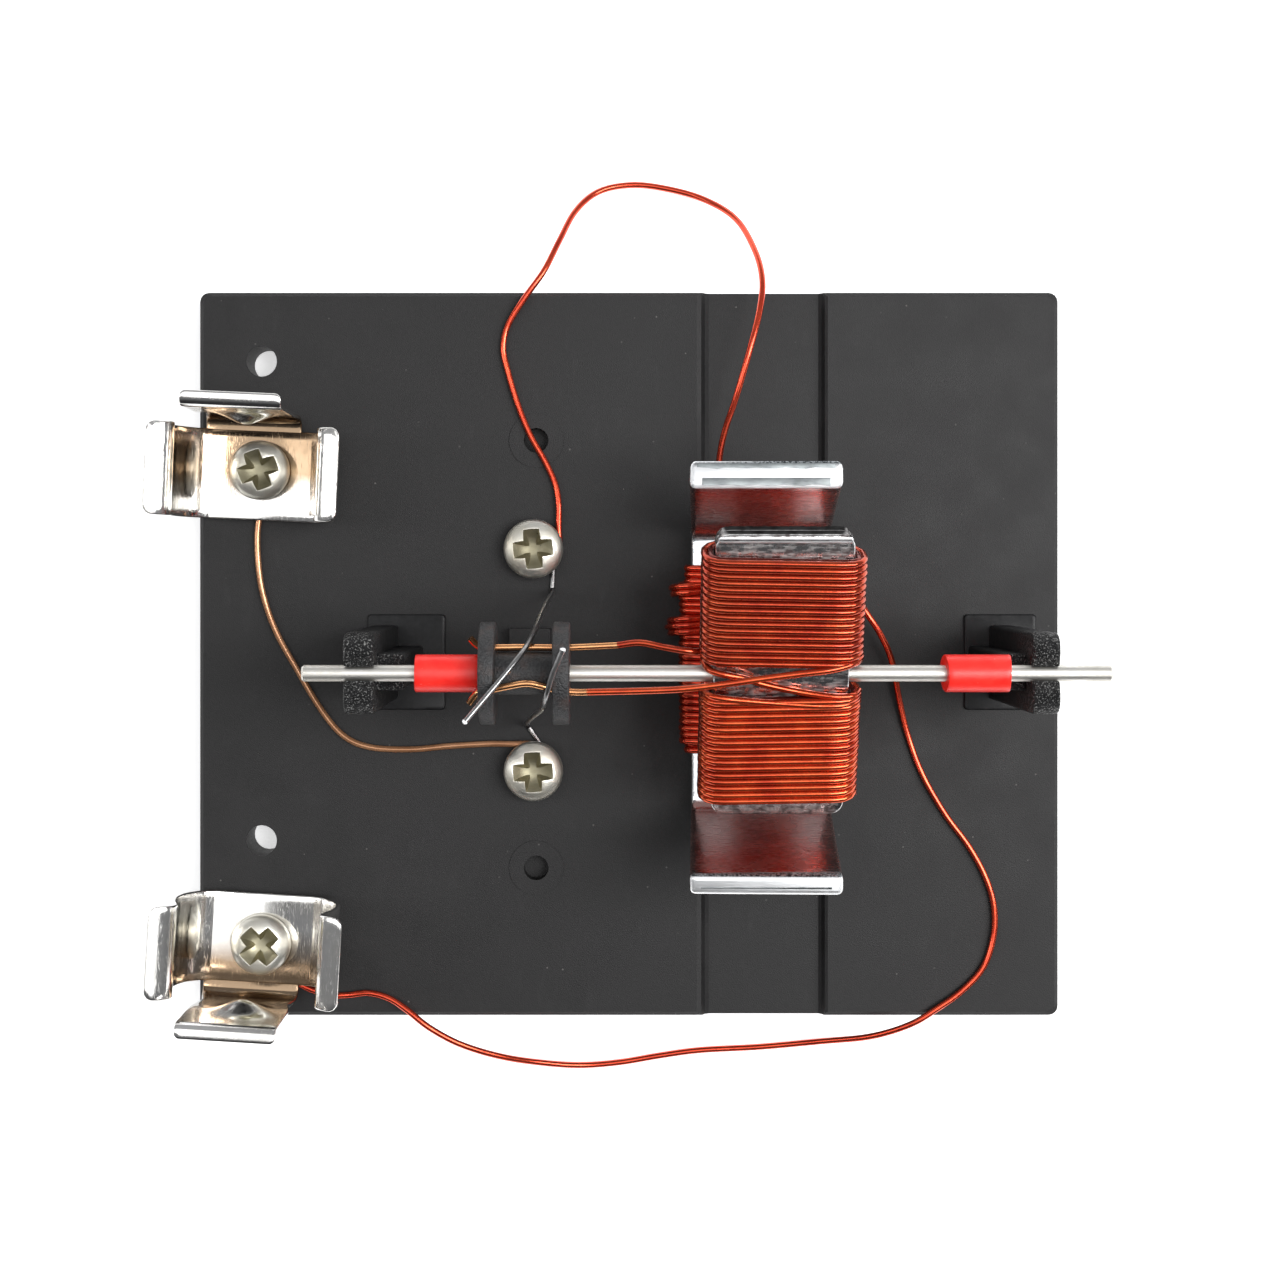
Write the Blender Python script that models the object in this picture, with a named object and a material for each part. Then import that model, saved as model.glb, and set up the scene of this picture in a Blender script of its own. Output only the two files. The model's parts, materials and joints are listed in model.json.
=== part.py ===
"""A small two-pole electric motor kit, open on its plastic base.

A wire-wound armature turns between the arms of a wound U-shaped field core. Two springy
brush wires rest on a hand-made commutator, and two sprung clips hold one AA cell.
Run with: blender --background --python part.py

Frame: metres, +Z up, the origin at the centre of the base's underside.
+X runs along the motor shaft, away from the cell clips, and +Y is the rear edge.
"""

import math

import bmesh
import bpy
from mathutils import Vector

MM = 0.001

# The base plate: a moulded tray, open below, with ribs and screw bosses.
BASE_LENGTH = 76.0 * MM
BASE_WIDTH = 64.0 * MM
BASE_TOP = 5.0 * MM
BASE_CORNER = 0.8 * MM
BASE_EDGE = 0.35 * MM
BASE_SKIN = 2.0 * MM
BASE_WALL = 1.8 * MM
RIB_THICKNESS = 1.6 * MM
RIB_FOOT = 0.2 * MM
BOSS_RADIUS = 3.0 * MM
CHANNEL_DEPTH = 1.0 * MM
CHANNEL_LEFT = 6.0 * MM
CHANNEL_RIGHT = 17.6 * MM
FREE_HOLE_RADIUS = 1.35 * MM
PILOT_RADIUS = 1.4 * MM
FREE_HOLES = ((-32.5 * MM, 25.9 * MM), (-32.5 * MM, -16.5 * MM))
BLIND_RINGS = ((-8.2 * MM, 18.9 * MM), (-8.2 * MM, -18.9 * MM))

# The motor axis, along X.
AXIS_Y = -0.7 * MM
AXIS_Z = BASE_TOP + 19.0 * MM
SHAFT_RADIUS = 0.66 * MM
SHAFT_START = -26.2 * MM
SHAFT_END = 38.3 * MM

# The bearing posts: forks that plug into pockets in the base.
POST_HALF_WIDTH = 3.25 * MM
POST_HEIGHT = 20.3 * MM
SEAT_RADIUS = 0.75 * MM
FOOT_HALF_WIDTH = 4.05 * MM
FOOT_DEPTH = 3.7 * MM
FOOT_RISE = 0.35 * MM
FIT_GAP = 0.1 * MM
LEFT_POST = {"plate": (-22.8, -20.4), "rib": (-20.6, -18.2), "foot": (-22.9, -16.4)}
RIGHT_POST = {"plate": (31.8, 34.0), "rib": (30.0, 32.0), "foot": (29.8, 35.8)}

# The armature: two pressed plates round the shaft, with a coil on each half.
ROTOR_TILT = math.radians(23.0)
ROTOR_CENTRE_X = 11.9 * MM
CORE_HALF_LENGTH = 12.3 * MM
CORE_WIDTH = 10.8 * MM
PLATE_THICKNESS = 1.02 * MM
PLATE_GAP = 0.04 * MM
ROTOR_COIL_BUILD = 1.05 * MM
ROTOR_COIL_SPANS = {"rear": (1.1 * MM, 10.8 * MM), "front": (-11.1 * MM, -1.1 * MM)}
ROTOR_WIRE_RADIUS = 0.28 * MM

# The commutator spool and the red sleeves on the shaft.
SPOOL_BARREL_RADIUS = 1.7 * MM
SPOOL_FLANGE_RADIUS = 4.1 * MM
SPOOL_BORE_RADIUS = 0.72 * MM
SPOOL_FACES = {"left": (-12.0, -10.75), "right": (-6.2, -4.85)}
SLEEVE_RADIUS = 1.5 * MM
SLEEVE_BORE_RADIUS = 0.72 * MM
SLEEVE_SPANS = {"left": (-17.2, -12.1), "right": (24.95, 30.2)}

# The field core: a U-shaped strip, set a little out of square on its winding.
STATOR_X = 11.6 * MM
STATOR_Y = -1.2 * MM
STATOR_LEAN = math.radians(-2.5)
STRIP_WIDTH = 12.2 * MM
STRIP_THICKNESS = 1.7 * MM
BAR_HEIGHT = 1.6 * MM
HALF_SPAN = 12.3 * MM
ARM_FLARE = math.radians(12.0)
ARM_TOP = 19.5 * MM
BEND_RADIUS = 1.2 * MM
FIELD_COIL_BUILD = 1.05 * MM
FIELD_COIL_SPAN = (-7.7 * MM, 9.3 * MM)
WINDING_GAP = 0.05 * MM

# The cell clips: nickel-plated spring strip.
CLIP_THICKNESS = 0.4 * MM
CLIP_LIFT = 0.7 * MM
TAB_HALF_WIDTH = 4.2 * MM
TAB_SHIFT = -0.75 * MM
CLIPS = {
    "rear": {"at": (-32.4 * MM, 16.2 * MM), "turn": math.radians(-2.5), "side": 1.0},
    "front": {"at": (-32.3 * MM, -25.4 * MM), "turn": math.radians(-3.5), "side": -1.0},
}

# Screws: pan heads with a cross recess.
HEAD_RADIUS = 2.6 * MM
HEAD_HEIGHT = 1.9 * MM
SHANK_RADIUS = 1.3 * MM
SHANK_BOTTOM = 0.6 * MM
RECESS_ARM = 1.7 * MM
RECESS_HALF_WIDTH = 0.55 * MM
RECESS_DEPTH = 1.1 * MM
BRUSH_SCREWS = {"rear": (-8.4 * MM, 9.3 * MM), "front": (-8.4 * MM, -10.2 * MM)}
BRUSH_HEAD_SEAT = BASE_TOP + 1.1 * MM
STATOR_HEAD_RADIUS = 1.9 * MM
STATOR_SHANK_RADIUS = 1.0 * MM

# Wires. The loose leads and the field coil are one gauge, and the brushes are spring wire.
LEAD_RADIUS = 0.28 * MM
BRUSH_RADIUS = 0.2 * MM
LEAD_SPACING = 2.4
WIRE_SPACING = 3.0
EYE_RADIUS = 1.75

# Routes are in millimetres, from one end of the wire to the other.
REAR_FIELD_LEAD = (
    (8.0, 12.4, 5.2), (7.9, 15.0, 6.0), (7.9, 17.3, 7.4), (8.3, 19.6, 9.0), (9.1, 22.1, 10.3),
    (10.3, 26.3, 11.0), (11.2, 29.8, 10.4), (11.5, 32.6, 9.2), (11.0, 35.5, 6.8),
    (9.5, 38.8, 3.4), (6.6, 41.0, 0.9), (2.8, 42.1, 0.32), (-0.1, 42.3, 0.32),
    (-2.8, 41.6, 0.7), (-4.8, 39.6, 2.2), (-6.2, 36.6, 4.4), (-7.5, 33.8, 5.7),
    (-9.2, 31.4, 5.8), (-10.7, 29.0, 5.45), (-11.1, 27.0, 5.4), (-10.7, 25.0, 5.4),
    (-9.8, 22.0, 5.4), (-8.7, 19.3, 5.42), (-7.4, 17.0, 5.4), (-6.5, 15.0, 5.45),
    (-6.2, 13.2, 5.62), (-6.2, 11.2, 5.76), (-6.2, 9.4, 5.78), (-7.1, 7.7, 5.78),
)
FRONT_FIELD_LEAD = (
    (19.3, 6.0, 7.6), (20.7, 3.7, 7.8), (21.9, 1.9, 7.5), (23.0, -0.5, 6.9), (23.8, -4.0, 5.9),
    (24.6, -7.1, 5.4), (25.9, -10.6, 5.4), (27.9, -14.1, 5.4), (29.9, -16.8, 5.4),
    (31.4, -19.5, 5.4), (32.2, -22.1, 5.4), (32.2, -24.8, 5.4), (31.3, -27.6, 5.4),
    (29.4, -29.7, 5.45), (27.1, -31.3, 5.55), (24.8, -32.7, 5.4), (21.5, -34.1, 3.8),
    (17.2, -35.1, 1.3), (11.9, -35.8, 0.34), (6.5, -36.1, 0.32), (2.8, -36.6, 0.32),
    (-0.8, -37.2, 0.32), (-4.4, -37.4, 0.6), (-8.0, -36.9, 1.7), (-11.5, -35.9, 3.6),
    (-14.9, -34.5, 5.1), (-17.6, -32.9, 5.7), (-19.5, -31.4, 5.7), (-21.1, -30.4, 5.45),
    (-23.0, -29.9, 5.4), (-24.9, -30.1, 5.4), (-26.8, -30.0, 5.4), (-29.2, -29.0, 5.4),
    (-30.5, -27.2, 5.4),
)
BATTERY_LEAD = (
    (-31.0, 14.1, 5.4), (-32.2, 13.2, 5.4), (-32.7, 11.6, 5.4), (-32.8, 9.2, 5.4),
    (-32.4, 5.7, 5.4), (-31.2, 2.1, 5.4), (-29.1, -1.7, 5.4), (-27.1, -5.0, 5.4),
    (-25.2, -7.2, 5.4), (-22.9, -8.2, 5.4), (-19.3, -8.4, 5.4), (-15.8, -8.1, 5.4),
    (-12.3, -7.9, 5.5), (-10.2, -7.9, 5.74), (-8.5, -7.9, 5.78), (-6.8, -8.5, 5.78),
)
BRUSH_RISERS = {
    "rear": (
        (-6.8, 5.35, 6.2), (-7.1, 4.6, 12.0), (-7.4, 3.7, 18.0), (-7.75, 2.6, 23.0),
        (-8.2, 1.6, 25.8), (-8.9, 0.6, 27.3), (-10.2, -1.0, 28.3), (-12.8, -4.1, 29.8),
    ),
    "front": (
        (-9.1, -6.1, 6.2), (-8.6, -5.4, 11.0), (-7.8, -4.4, 18.0), (-7.2, -3.7, 23.0),
        (-6.9, -3.1, 26.6), (-6.6, -2.2, 28.5), (-6.1, -0.5, 29.3), (-5.3, 1.4, 29.9),
    ),
}
BRUSH_HINGES = {"rear": (-6.8, 5.35, 6.2), "front": (-9.1, -6.1, 6.2)}

# Wires on the armature, in millimetres from the motor axis: X as in the frame, then Y and Z.
COMMUTATOR_WIRES = {
    "rear": ((-12.75, 2.8, 0.6), (-12.4, 2.4, 0.42), (-12.0, 2.12, 0.3), (-11.4, 2.06, 0.25),
             (-8.5, 2.08, 0.2), (-5.5, 2.06, 0.25), (-3.6, 2.12, 0.3), (-1.0, 2.25, 0.4)),
    "front": ((-12.8, -2.3, 0.9), (-12.4, -1.75, 1.25), (-12.0, -1.4, 1.55), (-11.4, -1.3, 1.63),
              (-9.8, -0.95, 1.85), (-8.2, -0.7, 1.98), (-6.9, -0.95, 1.88), (-5.5, -1.3, 1.63),
              (-4.2, -1.42, 1.55), (-3.4, -1.4, 1.6)),
}
COIL_LEADS = {
    "rear": ((-0.8, 2.28, 0.42), (0.7, 2.45, 0.5), (2.6, 2.1, 0.55), (4.1, 1.85, 0.7),
             (5.1, 1.7, 0.85)),
    "front": ((-3.2, -1.4, 1.6), (0.7, -1.3, 1.75), (4.0, -1.15, 1.95), (7.0, -0.8, 2.2),
              (10.0, -0.35, 2.35), (13.0, 0.0, 2.35), (15.5, 0.05, 2.15), (17.4, 0.05, 1.8)),
}
FLANGE_HOLE_ANGLES = {"rear": 7.0, "front": 128.5}
FLANGE_HOLE_RADIUS = 0.42 * MM
FLANGE_HOLE_PITCH = 2.08 * MM

ROUND_STEPS = 32
BLACK_PLASTIC = ((0.042, 0.040, 0.041), 0.62, 0.0)
GLOSS_PLASTIC = ((0.012, 0.012, 0.013), 0.32, 0.0)
RED_PLASTIC = ((0.80, 0.035, 0.022), 0.45, 0.0)
RED_ENAMEL = ((0.42, 0.045, 0.016), 0.28, 0.35)
BROWN_ENAMEL = ((0.30, 0.12, 0.055), 0.42, 0.35)
BARE_COPPER = ((0.72, 0.36, 0.20), 0.35, 1.0)
NICKEL = ((0.72, 0.72, 0.70), 0.22, 1.0)
ZINC = ((0.62, 0.64, 0.66), 0.28, 1.0)
STEEL = ((0.55, 0.54, 0.52), 0.30, 1.0)


def clear_scene():
    for obj in list(bpy.data.objects):
        bpy.data.objects.remove(obj, do_unlink=True)


def make_material(name, finish):
    """A plain material named after its node."""
    colour, roughness, metallic = finish
    material = bpy.data.materials.new(name)
    material.use_nodes = True
    shader = material.node_tree.nodes["Principled BSDF"]
    shader.inputs["Base Color"].default_value = (*colour, 1.0)
    shader.inputs["Roughness"].default_value = roughness
    shader.inputs["Metallic"].default_value = metallic
    return material


def add_object(name, data, finish, parent=None):
    """Links a mesh or curve as one part, with its own material."""
    obj = bpy.data.objects.new(name, data)
    bpy.context.scene.collection.objects.link(obj)
    data.materials.append(make_material(name, finish))
    obj.parent = parent
    return obj


def add_mesh(name, bm, finish, parent=None):
    """Closes a bmesh into a part, shaded smooth with its real corners sharp."""
    bmesh.ops.recalc_face_normals(bm, faces=bm.faces)
    mesh = bpy.data.meshes.new(name)
    bm.to_mesh(mesh)
    bm.free()
    mesh.shade_smooth()
    mesh.set_sharp_from_angle(angle=math.radians(32.0))
    return add_object(name, mesh, finish, parent)


def add_cutter(name, bm, parent=None):
    """A shape used only by a Boolean, kept out of the model."""
    obj = add_mesh(name, bm, BLACK_PLASTIC, parent)
    obj.hide_render = True
    obj.display_type = "WIRE"
    return obj


def add_empty(name, location, parent=None):
    obj = bpy.data.objects.new(name, None)
    bpy.context.scene.collection.objects.link(obj)
    obj.location = location
    obj.parent = parent
    return obj


def combine(obj, other, operation):
    """Joins or cuts with another shape, live, by the exact solver."""
    boolean = obj.modifiers.new(operation.title(), "BOOLEAN")
    boolean.operation = operation
    boolean.solver = "EXACT"
    boolean.object = other


def soften_edges(obj, width, segments=2):
    """Rounds the sharp edges that moulding or tumbling leaves round."""
    bevel = obj.modifiers.new("Rounded edges", "BEVEL")
    bevel.width = width
    bevel.segments = segments
    bevel.limit_method = "ANGLE"
    bevel.angle_limit = math.radians(40.0)


def loft(rings, closed=False):
    """A bmesh through rings of points. The ends are capped, or meet when closed."""
    bm = bmesh.new()
    loops = [[bm.verts.new(point) for point in ring] for ring in rings]
    count = len(loops[0])
    pairs = list(zip(loops, loops[1:]))
    if closed:
        pairs.append((loops[-1], loops[0]))
    else:
        bm.faces.new(loops[0])
        bm.faces.new(loops[-1])
    for first, second in pairs:
        for i in range(count):
            j = (i + 1) % count
            bm.faces.new((first[i], first[j], second[j], second[i]))
    return bm


def box(low, high):
    """A box between two corners."""
    (x0, y0, z0), (x1, y1, z1) = low, high
    outline = ((x0, y0), (x1, y0), (x1, y1), (x0, y1))
    return loft([[(x, y, z) for x, y in outline] for z in (z0, z1)])


def rounded_rectangle(half_a, half_b, radius, steps=4):
    """Outline points of a rectangle with round corners, centred on zero."""
    points = []
    for quarter in range(4):
        angle = quarter * math.pi / 2
        corner = Vector((half_a - radius, half_b - radius))
        corner.x *= 1 if quarter in (0, 3) else -1
        corner.y *= 1 if quarter in (0, 1) else -1
        for step in range(steps + 1):
            turn = angle + step / steps * math.pi / 2
            points.append(corner + Vector((math.cos(turn), math.sin(turn))) * radius)
    return points


def prism(outline, start, end, axis):
    """Extrudes an outline along an axis. The outline's two values follow X, Y, Z order."""
    order = {"X": (2, 0, 1), "Y": (0, 2, 1), "Z": (0, 1, 2)}[axis]
    rings = []
    for along in (start, end):
        ring = []
        for a, b in outline:
            values = (a, b, along)
            ring.append(tuple(values[i] for i in order))
        rings.append(ring)
    return loft(rings)


def turned(profile, axis, steps=ROUND_STEPS, bore=False):
    """Turns a profile of (place along the axis, radius) pairs, solid or with a bore."""
    rings = []
    for along, radius in profile:
        ring = []
        for step in range(steps):
            angle = 2 * math.pi * step / steps
            a, b = radius * math.cos(angle), radius * math.sin(angle)
            ring.append((along, a, b) if axis == "X" else (a, b, along))
        rings.append(ring)
    return loft(rings, closed=bore)


def cylinder(x, y, z0, z1, radius, steps=ROUND_STEPS):
    """An upright cylinder at a place."""
    bm = turned(((z0, radius), (z1, radius)), "Z", steps)
    bmesh.ops.translate(bm, verts=bm.verts, vec=(x, y, 0))
    return bm


def smooth_route(points, spacing, scale=MM):
    """Even points, about a spacing apart, on a smooth curve through a route's points."""
    route = [Vector(point) for point in points]
    route = [2 * route[0] - route[1], *route, 2 * route[-1] - route[-2]]
    fine = []
    for a, b, c, d in zip(route, route[1:], route[2:], route[3:]):
        for step in range(24):
            t = step / 24
            fine.append(0.5 * ((2 * b) + (c - a) * t + (2 * a - 5 * b + 4 * c - d) * t * t
                               + (3 * b - a - 3 * c + d) * t ** 3))
    fine.append(route[-2])
    lengths = [0.0]
    for first, second in zip(fine, fine[1:]):
        lengths.append(lengths[-1] + (second - first).length)
    count = max(2, round(lengths[-1] / spacing)) + 1
    even = []
    at = 0
    for i in range(count):
        target = lengths[-1] * i / (count - 1)
        while at < len(fine) - 2 and lengths[at + 1] < target:
            at += 1
        share = (target - lengths[at]) / (lengths[at + 1] - lengths[at])
        even.append(fine[at].lerp(fine[at + 1], share) * scale)
    return even


def add_wire(name, points, radius, finish, parent=None, sides=2):
    """A round wire along points, with closed ends."""
    curve = bpy.data.curves.new(name, "CURVE")
    curve.dimensions = "3D"
    curve.bevel_depth = radius
    curve.bevel_resolution = sides
    curve.use_fill_caps = True
    curve.resolution_u = 1
    spline = curve.splines.new("POLY")
    spline.points.add(len(points) - 1)
    for target, point in zip(spline.points, points):
        target.co = (*point, 1.0)
    return add_object(name, curve, finish, parent)


def make_base():
    """The tray: skin, skirt, ribs, bosses, sockets, channel and holes."""
    half_x, half_y = BASE_LENGTH / 2, BASE_WIDTH / 2
    rings = []
    for inset, height in ((0.0, 0.0), (0.0, BASE_TOP - BASE_EDGE), (BASE_EDGE, BASE_TOP)):
        outline = rounded_rectangle(half_x - inset, half_y - inset, BASE_CORNER)
        rings.append([(x, y, height) for x, y in outline])
    base = add_mesh("base_plate", loft(rings), BLACK_PLASTIC)

    hollow = box((-half_x + BASE_WALL, -half_y + BASE_WALL, -MM),
                 (half_x - BASE_WALL, half_y - BASE_WALL, BASE_TOP - BASE_SKIN))
    combine(base, add_cutter("cut_hollow", hollow), "DIFFERENCE")

    rib_top = BASE_TOP - BASE_SKIN + 0.5 * MM
    rib = RIB_THICKNESS / 2
    inner_x, inner_y = half_x - 0.5 * BASE_WALL, half_y - 0.5 * BASE_WALL
    ribs = box((-inner_x, -rib, RIB_FOOT), (inner_x, rib, rib_top))
    combine(base, add_cutter("add_long_rib", ribs), "UNION")
    ribs = box((-rib, -inner_y, RIB_FOOT * 1.5), (rib, inner_y, rib_top - 0.1 * MM))
    combine(base, add_cutter("add_cross_rib", ribs), "UNION")
    pad = cylinder(0, 0, 0, rib_top - 0.2 * MM, 4.5 * MM)
    combine(base, add_cutter("add_centre_pad", pad), "UNION")

    clip_spots = tuple(clip["at"] for clip in CLIPS.values())
    brush_spots = tuple(BRUSH_SCREWS.values())
    for i, (x, y) in enumerate(FREE_HOLES + clip_spots + brush_spots + BLIND_RINGS):
        boss = cylinder(x, y, RIB_FOOT * 2, rib_top, BOSS_RADIUS, 24)
        combine(base, add_cutter(f"add_boss_{i}", boss), "UNION")
    boss = cylinder(STATOR_X, STATOR_Y, RIB_FOOT * 2.5, rib_top + 0.3 * MM, 4.2 * MM)
    combine(base, add_cutter("add_stator_boss", boss), "UNION")
    for side, post in (("left", LEFT_POST), ("right", RIGHT_POST)):
        x0, x1 = (value * MM for value in post["foot"])
        wall, reach = 1.5 * MM, FOOT_HALF_WIDTH + 1.5 * MM
        socket = box((x0 - wall, AXIS_Y - reach, RIB_FOOT * 2),
                     (x1 + wall, AXIS_Y + reach, rib_top + 0.1 * MM))
        combine(base, add_cutter(f"add_socket_{side}", socket), "UNION")

    channel = (
        (CHANNEL_LEFT, BASE_TOP + MM), (CHANNEL_LEFT, BASE_TOP),
        (CHANNEL_LEFT + 0.4 * MM, BASE_TOP - 0.15 * MM),
        (CHANNEL_LEFT + 0.75 * MM, BASE_TOP - 0.75 * MM),
        (CHANNEL_LEFT + 1.1 * MM, BASE_TOP - CHANNEL_DEPTH),
        (CHANNEL_RIGHT - 0.75 * MM, BASE_TOP - CHANNEL_DEPTH),
        (CHANNEL_RIGHT - 0.5 * MM, BASE_TOP - 0.75 * MM),
        (CHANNEL_RIGHT - 0.25 * MM, BASE_TOP - 0.15 * MM),
        (CHANNEL_RIGHT, BASE_TOP), (CHANNEL_RIGHT, BASE_TOP + MM),
    )
    cutter = prism(channel, -half_y - MM, half_y + MM, "Y")
    combine(base, add_cutter("cut_channel", cutter), "DIFFERENCE")

    brush_block = box((-10.5 * MM, AXIS_Y - 2.2 * MM, BASE_TOP - MM),
                      (-6.9 * MM, AXIS_Y + 3.0 * MM, BASE_TOP + 1.6 * MM))
    combine(base, add_cutter("add_brush_block", brush_block), "UNION")
    for i, (x, y) in enumerate(BLIND_RINGS):
        ring = cylinder(x, y, BASE_TOP - MM, BASE_TOP + 0.12 * MM, 2.4 * MM, 24)
        combine(base, add_cutter(f"add_ring_{i}", ring), "UNION")
        hole = cylinder(x, y, BASE_TOP - 1.5 * MM, BASE_TOP + MM, 1.1 * MM, 16)
        combine(base, add_cutter(f"cut_blind_{i}", hole), "DIFFERENCE")

    for i, (x, y) in enumerate(FREE_HOLES):
        hole = cylinder(x, y, -MM, BASE_TOP + MM, FREE_HOLE_RADIUS, 24)
        combine(base, add_cutter(f"cut_free_hole_{i}", hole), "DIFFERENCE")
    for i, (x, y) in enumerate(clip_spots + brush_spots):
        hole = cylinder(x, y, -MM, BASE_TOP + MM, PILOT_RADIUS, 24)
        combine(base, add_cutter(f"cut_pilot_{i}", hole), "DIFFERENCE")
    hole = cylinder(STATOR_X, STATOR_Y, -MM, BASE_TOP + MM, STATOR_SHANK_RADIUS + FIT_GAP, 24)
    combine(base, add_cutter("cut_stator_hole", hole), "DIFFERENCE")
    hole = cylinder(STATOR_X, STATOR_Y, -MM, 1.9 * MM, STATOR_HEAD_RADIUS + 0.2 * MM, 24)
    combine(base, add_cutter("cut_counterbore", hole), "DIFFERENCE")
    for side, post in (("left", LEFT_POST), ("right", RIGHT_POST)):
        x0, x1 = (value * MM for value in post["foot"])
        reach = FOOT_HALF_WIDTH + FIT_GAP
        pocket = box((x0 - FIT_GAP, AXIS_Y - reach, BASE_TOP - FOOT_DEPTH - FIT_GAP),
                     (x1 + FIT_GAP, AXIS_Y + reach, BASE_TOP + MM))
        combine(base, add_cutter(f"cut_pocket_{side}", pocket), "DIFFERENCE")


def fork_outline():
    """The fork's outline across the shaft: round lobes, a flared mouth and a round seat."""
    seat_height = AXIS_Z - BASE_TOP
    lobe = 1.1 * MM
    mouth = 0.55 * MM
    flare = 1.4 * MM
    right = [(POST_HALF_WIDTH, 0.0)]
    for step in range(6):
        angle = step / 5 * math.pi / 2
        right.append((POST_HALF_WIDTH - lobe + lobe * math.cos(angle),
                      POST_HEIGHT - lobe + lobe * math.sin(angle)))
    right.append((flare, POST_HEIGHT))
    right.append((mouth, seat_height + 0.8 * MM))
    opening = math.acos(mouth / SEAT_RADIUS)
    seat = []
    arc_steps = 14
    for step in range(arc_steps + 1):
        angle = opening - step / arc_steps * (math.pi + 2 * opening)
        seat.append((SEAT_RADIUS * math.cos(angle), seat_height + SEAT_RADIUS * math.sin(angle)))
    left = [(-a, b) for a, b in reversed(right)]
    outline = right + seat + left
    return [(AXIS_Y + a, BASE_TOP + b) for a, b in outline]


def make_post(side, post):
    """A bearing post: the fork, a stiffening rib towards the motor, and a foot in its pocket."""
    x0, x1 = (value * MM for value in post["plate"])
    fork = add_mesh(f"bearing_post_{side}", prism(fork_outline(), x0, x1, "X"), GLOSS_PLASTIC)
    x0, x1 = (value * MM for value in post["rib"])
    rib = box((x0, AXIS_Y - 1.45 * MM, BASE_TOP + 0.1 * MM),
              (x1, AXIS_Y + 1.45 * MM, AXIS_Z - 1.6 * MM))
    combine(fork, add_cutter(f"add_rib_{side}", rib), "UNION")
    x0, x1 = (value * MM for value in post["foot"])
    foot = box((x0, AXIS_Y - FOOT_HALF_WIDTH, BASE_TOP - FOOT_DEPTH),
               (x1, AXIS_Y + FOOT_HALF_WIDTH, BASE_TOP + FOOT_RISE))
    combine(fork, add_cutter(f"add_foot_{side}", foot), "UNION")
    soften_edges(fork, 0.16 * MM, 1)


def make_shaft(axis):
    chamfer = 0.15 * MM
    profile = (
        (SHAFT_START, SHAFT_RADIUS - chamfer), (SHAFT_START + chamfer, SHAFT_RADIUS),
        (SHAFT_END - chamfer, SHAFT_RADIUS), (SHAFT_END, SHAFT_RADIUS - chamfer),
    )
    add_mesh("shaft", turned(profile, "X"), STEEL, axis)


def make_sleeve(side, span, axis):
    """A short length of tubing pushed on the shaft as a stop."""
    x0, x1 = (value * MM for value in span)
    edge = 0.12 * MM
    profile = (
        (x0, SLEEVE_BORE_RADIUS), (x0, SLEEVE_RADIUS - edge), (x0 + edge, SLEEVE_RADIUS),
        (x1 - edge, SLEEVE_RADIUS), (x1, SLEEVE_RADIUS - edge), (x1, SLEEVE_BORE_RADIUS),
    )
    add_mesh(f"sleeve_{side}", turned(profile, "X", bore=True), RED_PLASTIC, axis)


def make_spool(axis):
    """The commutator spool: two flanges on a barrel, drilled for the wire ends."""
    (a0, a1), (b0, b1) = [[v * MM for v in SPOOL_FACES[side]] for side in ("left", "right")]
    edge = 0.12 * MM
    profile = (
        (a0, SPOOL_BORE_RADIUS), (a0, SPOOL_FLANGE_RADIUS - edge), (a0 + edge, SPOOL_FLANGE_RADIUS),
        (a1 - edge, SPOOL_FLANGE_RADIUS), (a1, SPOOL_FLANGE_RADIUS - edge),
        (a1, SPOOL_BARREL_RADIUS), (b0, SPOOL_BARREL_RADIUS),
        (b0, SPOOL_FLANGE_RADIUS - edge), (b0 + edge, SPOOL_FLANGE_RADIUS),
        (b1 - edge, SPOOL_FLANGE_RADIUS), (b1, SPOOL_FLANGE_RADIUS - edge),
        (b1, SPOOL_BORE_RADIUS),
    )
    spool = add_mesh("commutator_spool", turned(profile, "X", bore=True), GLOSS_PLASTIC, axis)
    for side, degrees in FLANGE_HOLE_ANGLES.items():
        angle = math.radians(degrees)
        hole = turned(((a0 - MM, FLANGE_HOLE_RADIUS), (b1 + MM, FLANGE_HOLE_RADIUS)), "X", 12)
        offset = (0, FLANGE_HOLE_PITCH * math.cos(angle), FLANGE_HOLE_PITCH * math.sin(angle))
        bmesh.ops.translate(hole, verts=hole.verts, vec=offset)
        combine(spool, add_cutter(f"cut_flange_hole_{side}", hole, axis), "DIFFERENCE")


def make_core_plate(name, up, armature):
    """One pressed plate of the armature core, with a half-round groove over the shaft."""
    low, high = PLATE_GAP / 2, PLATE_GAP / 2 + PLATE_THICKNESS
    outline = rounded_rectangle(CORE_WIDTH / 2, CORE_HALF_LENGTH, 1.0 * MM)
    edge = 0.2 * MM
    rings = []
    for inset, height in ((0.0, low), (0.0, high - edge), (edge, high)):
        scale_x = 1 - inset / (CORE_WIDTH / 2)
        scale_y = 1 - inset / CORE_HALF_LENGTH
        rings.append([(ROTOR_CENTRE_X + x * scale_x, y * scale_y, up * height)
                      for x, y in outline])
    plate = add_mesh(name, loft(rings), ZINC, armature)
    groove = turned(((0, SHAFT_RADIUS + 0.06 * MM), (2 * ROTOR_CENTRE_X, SHAFT_RADIUS + 0.06 * MM)),
                    "X", 24)
    combine(plate, add_cutter(f"cut_{name}", groove, armature), "DIFFERENCE")


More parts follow.
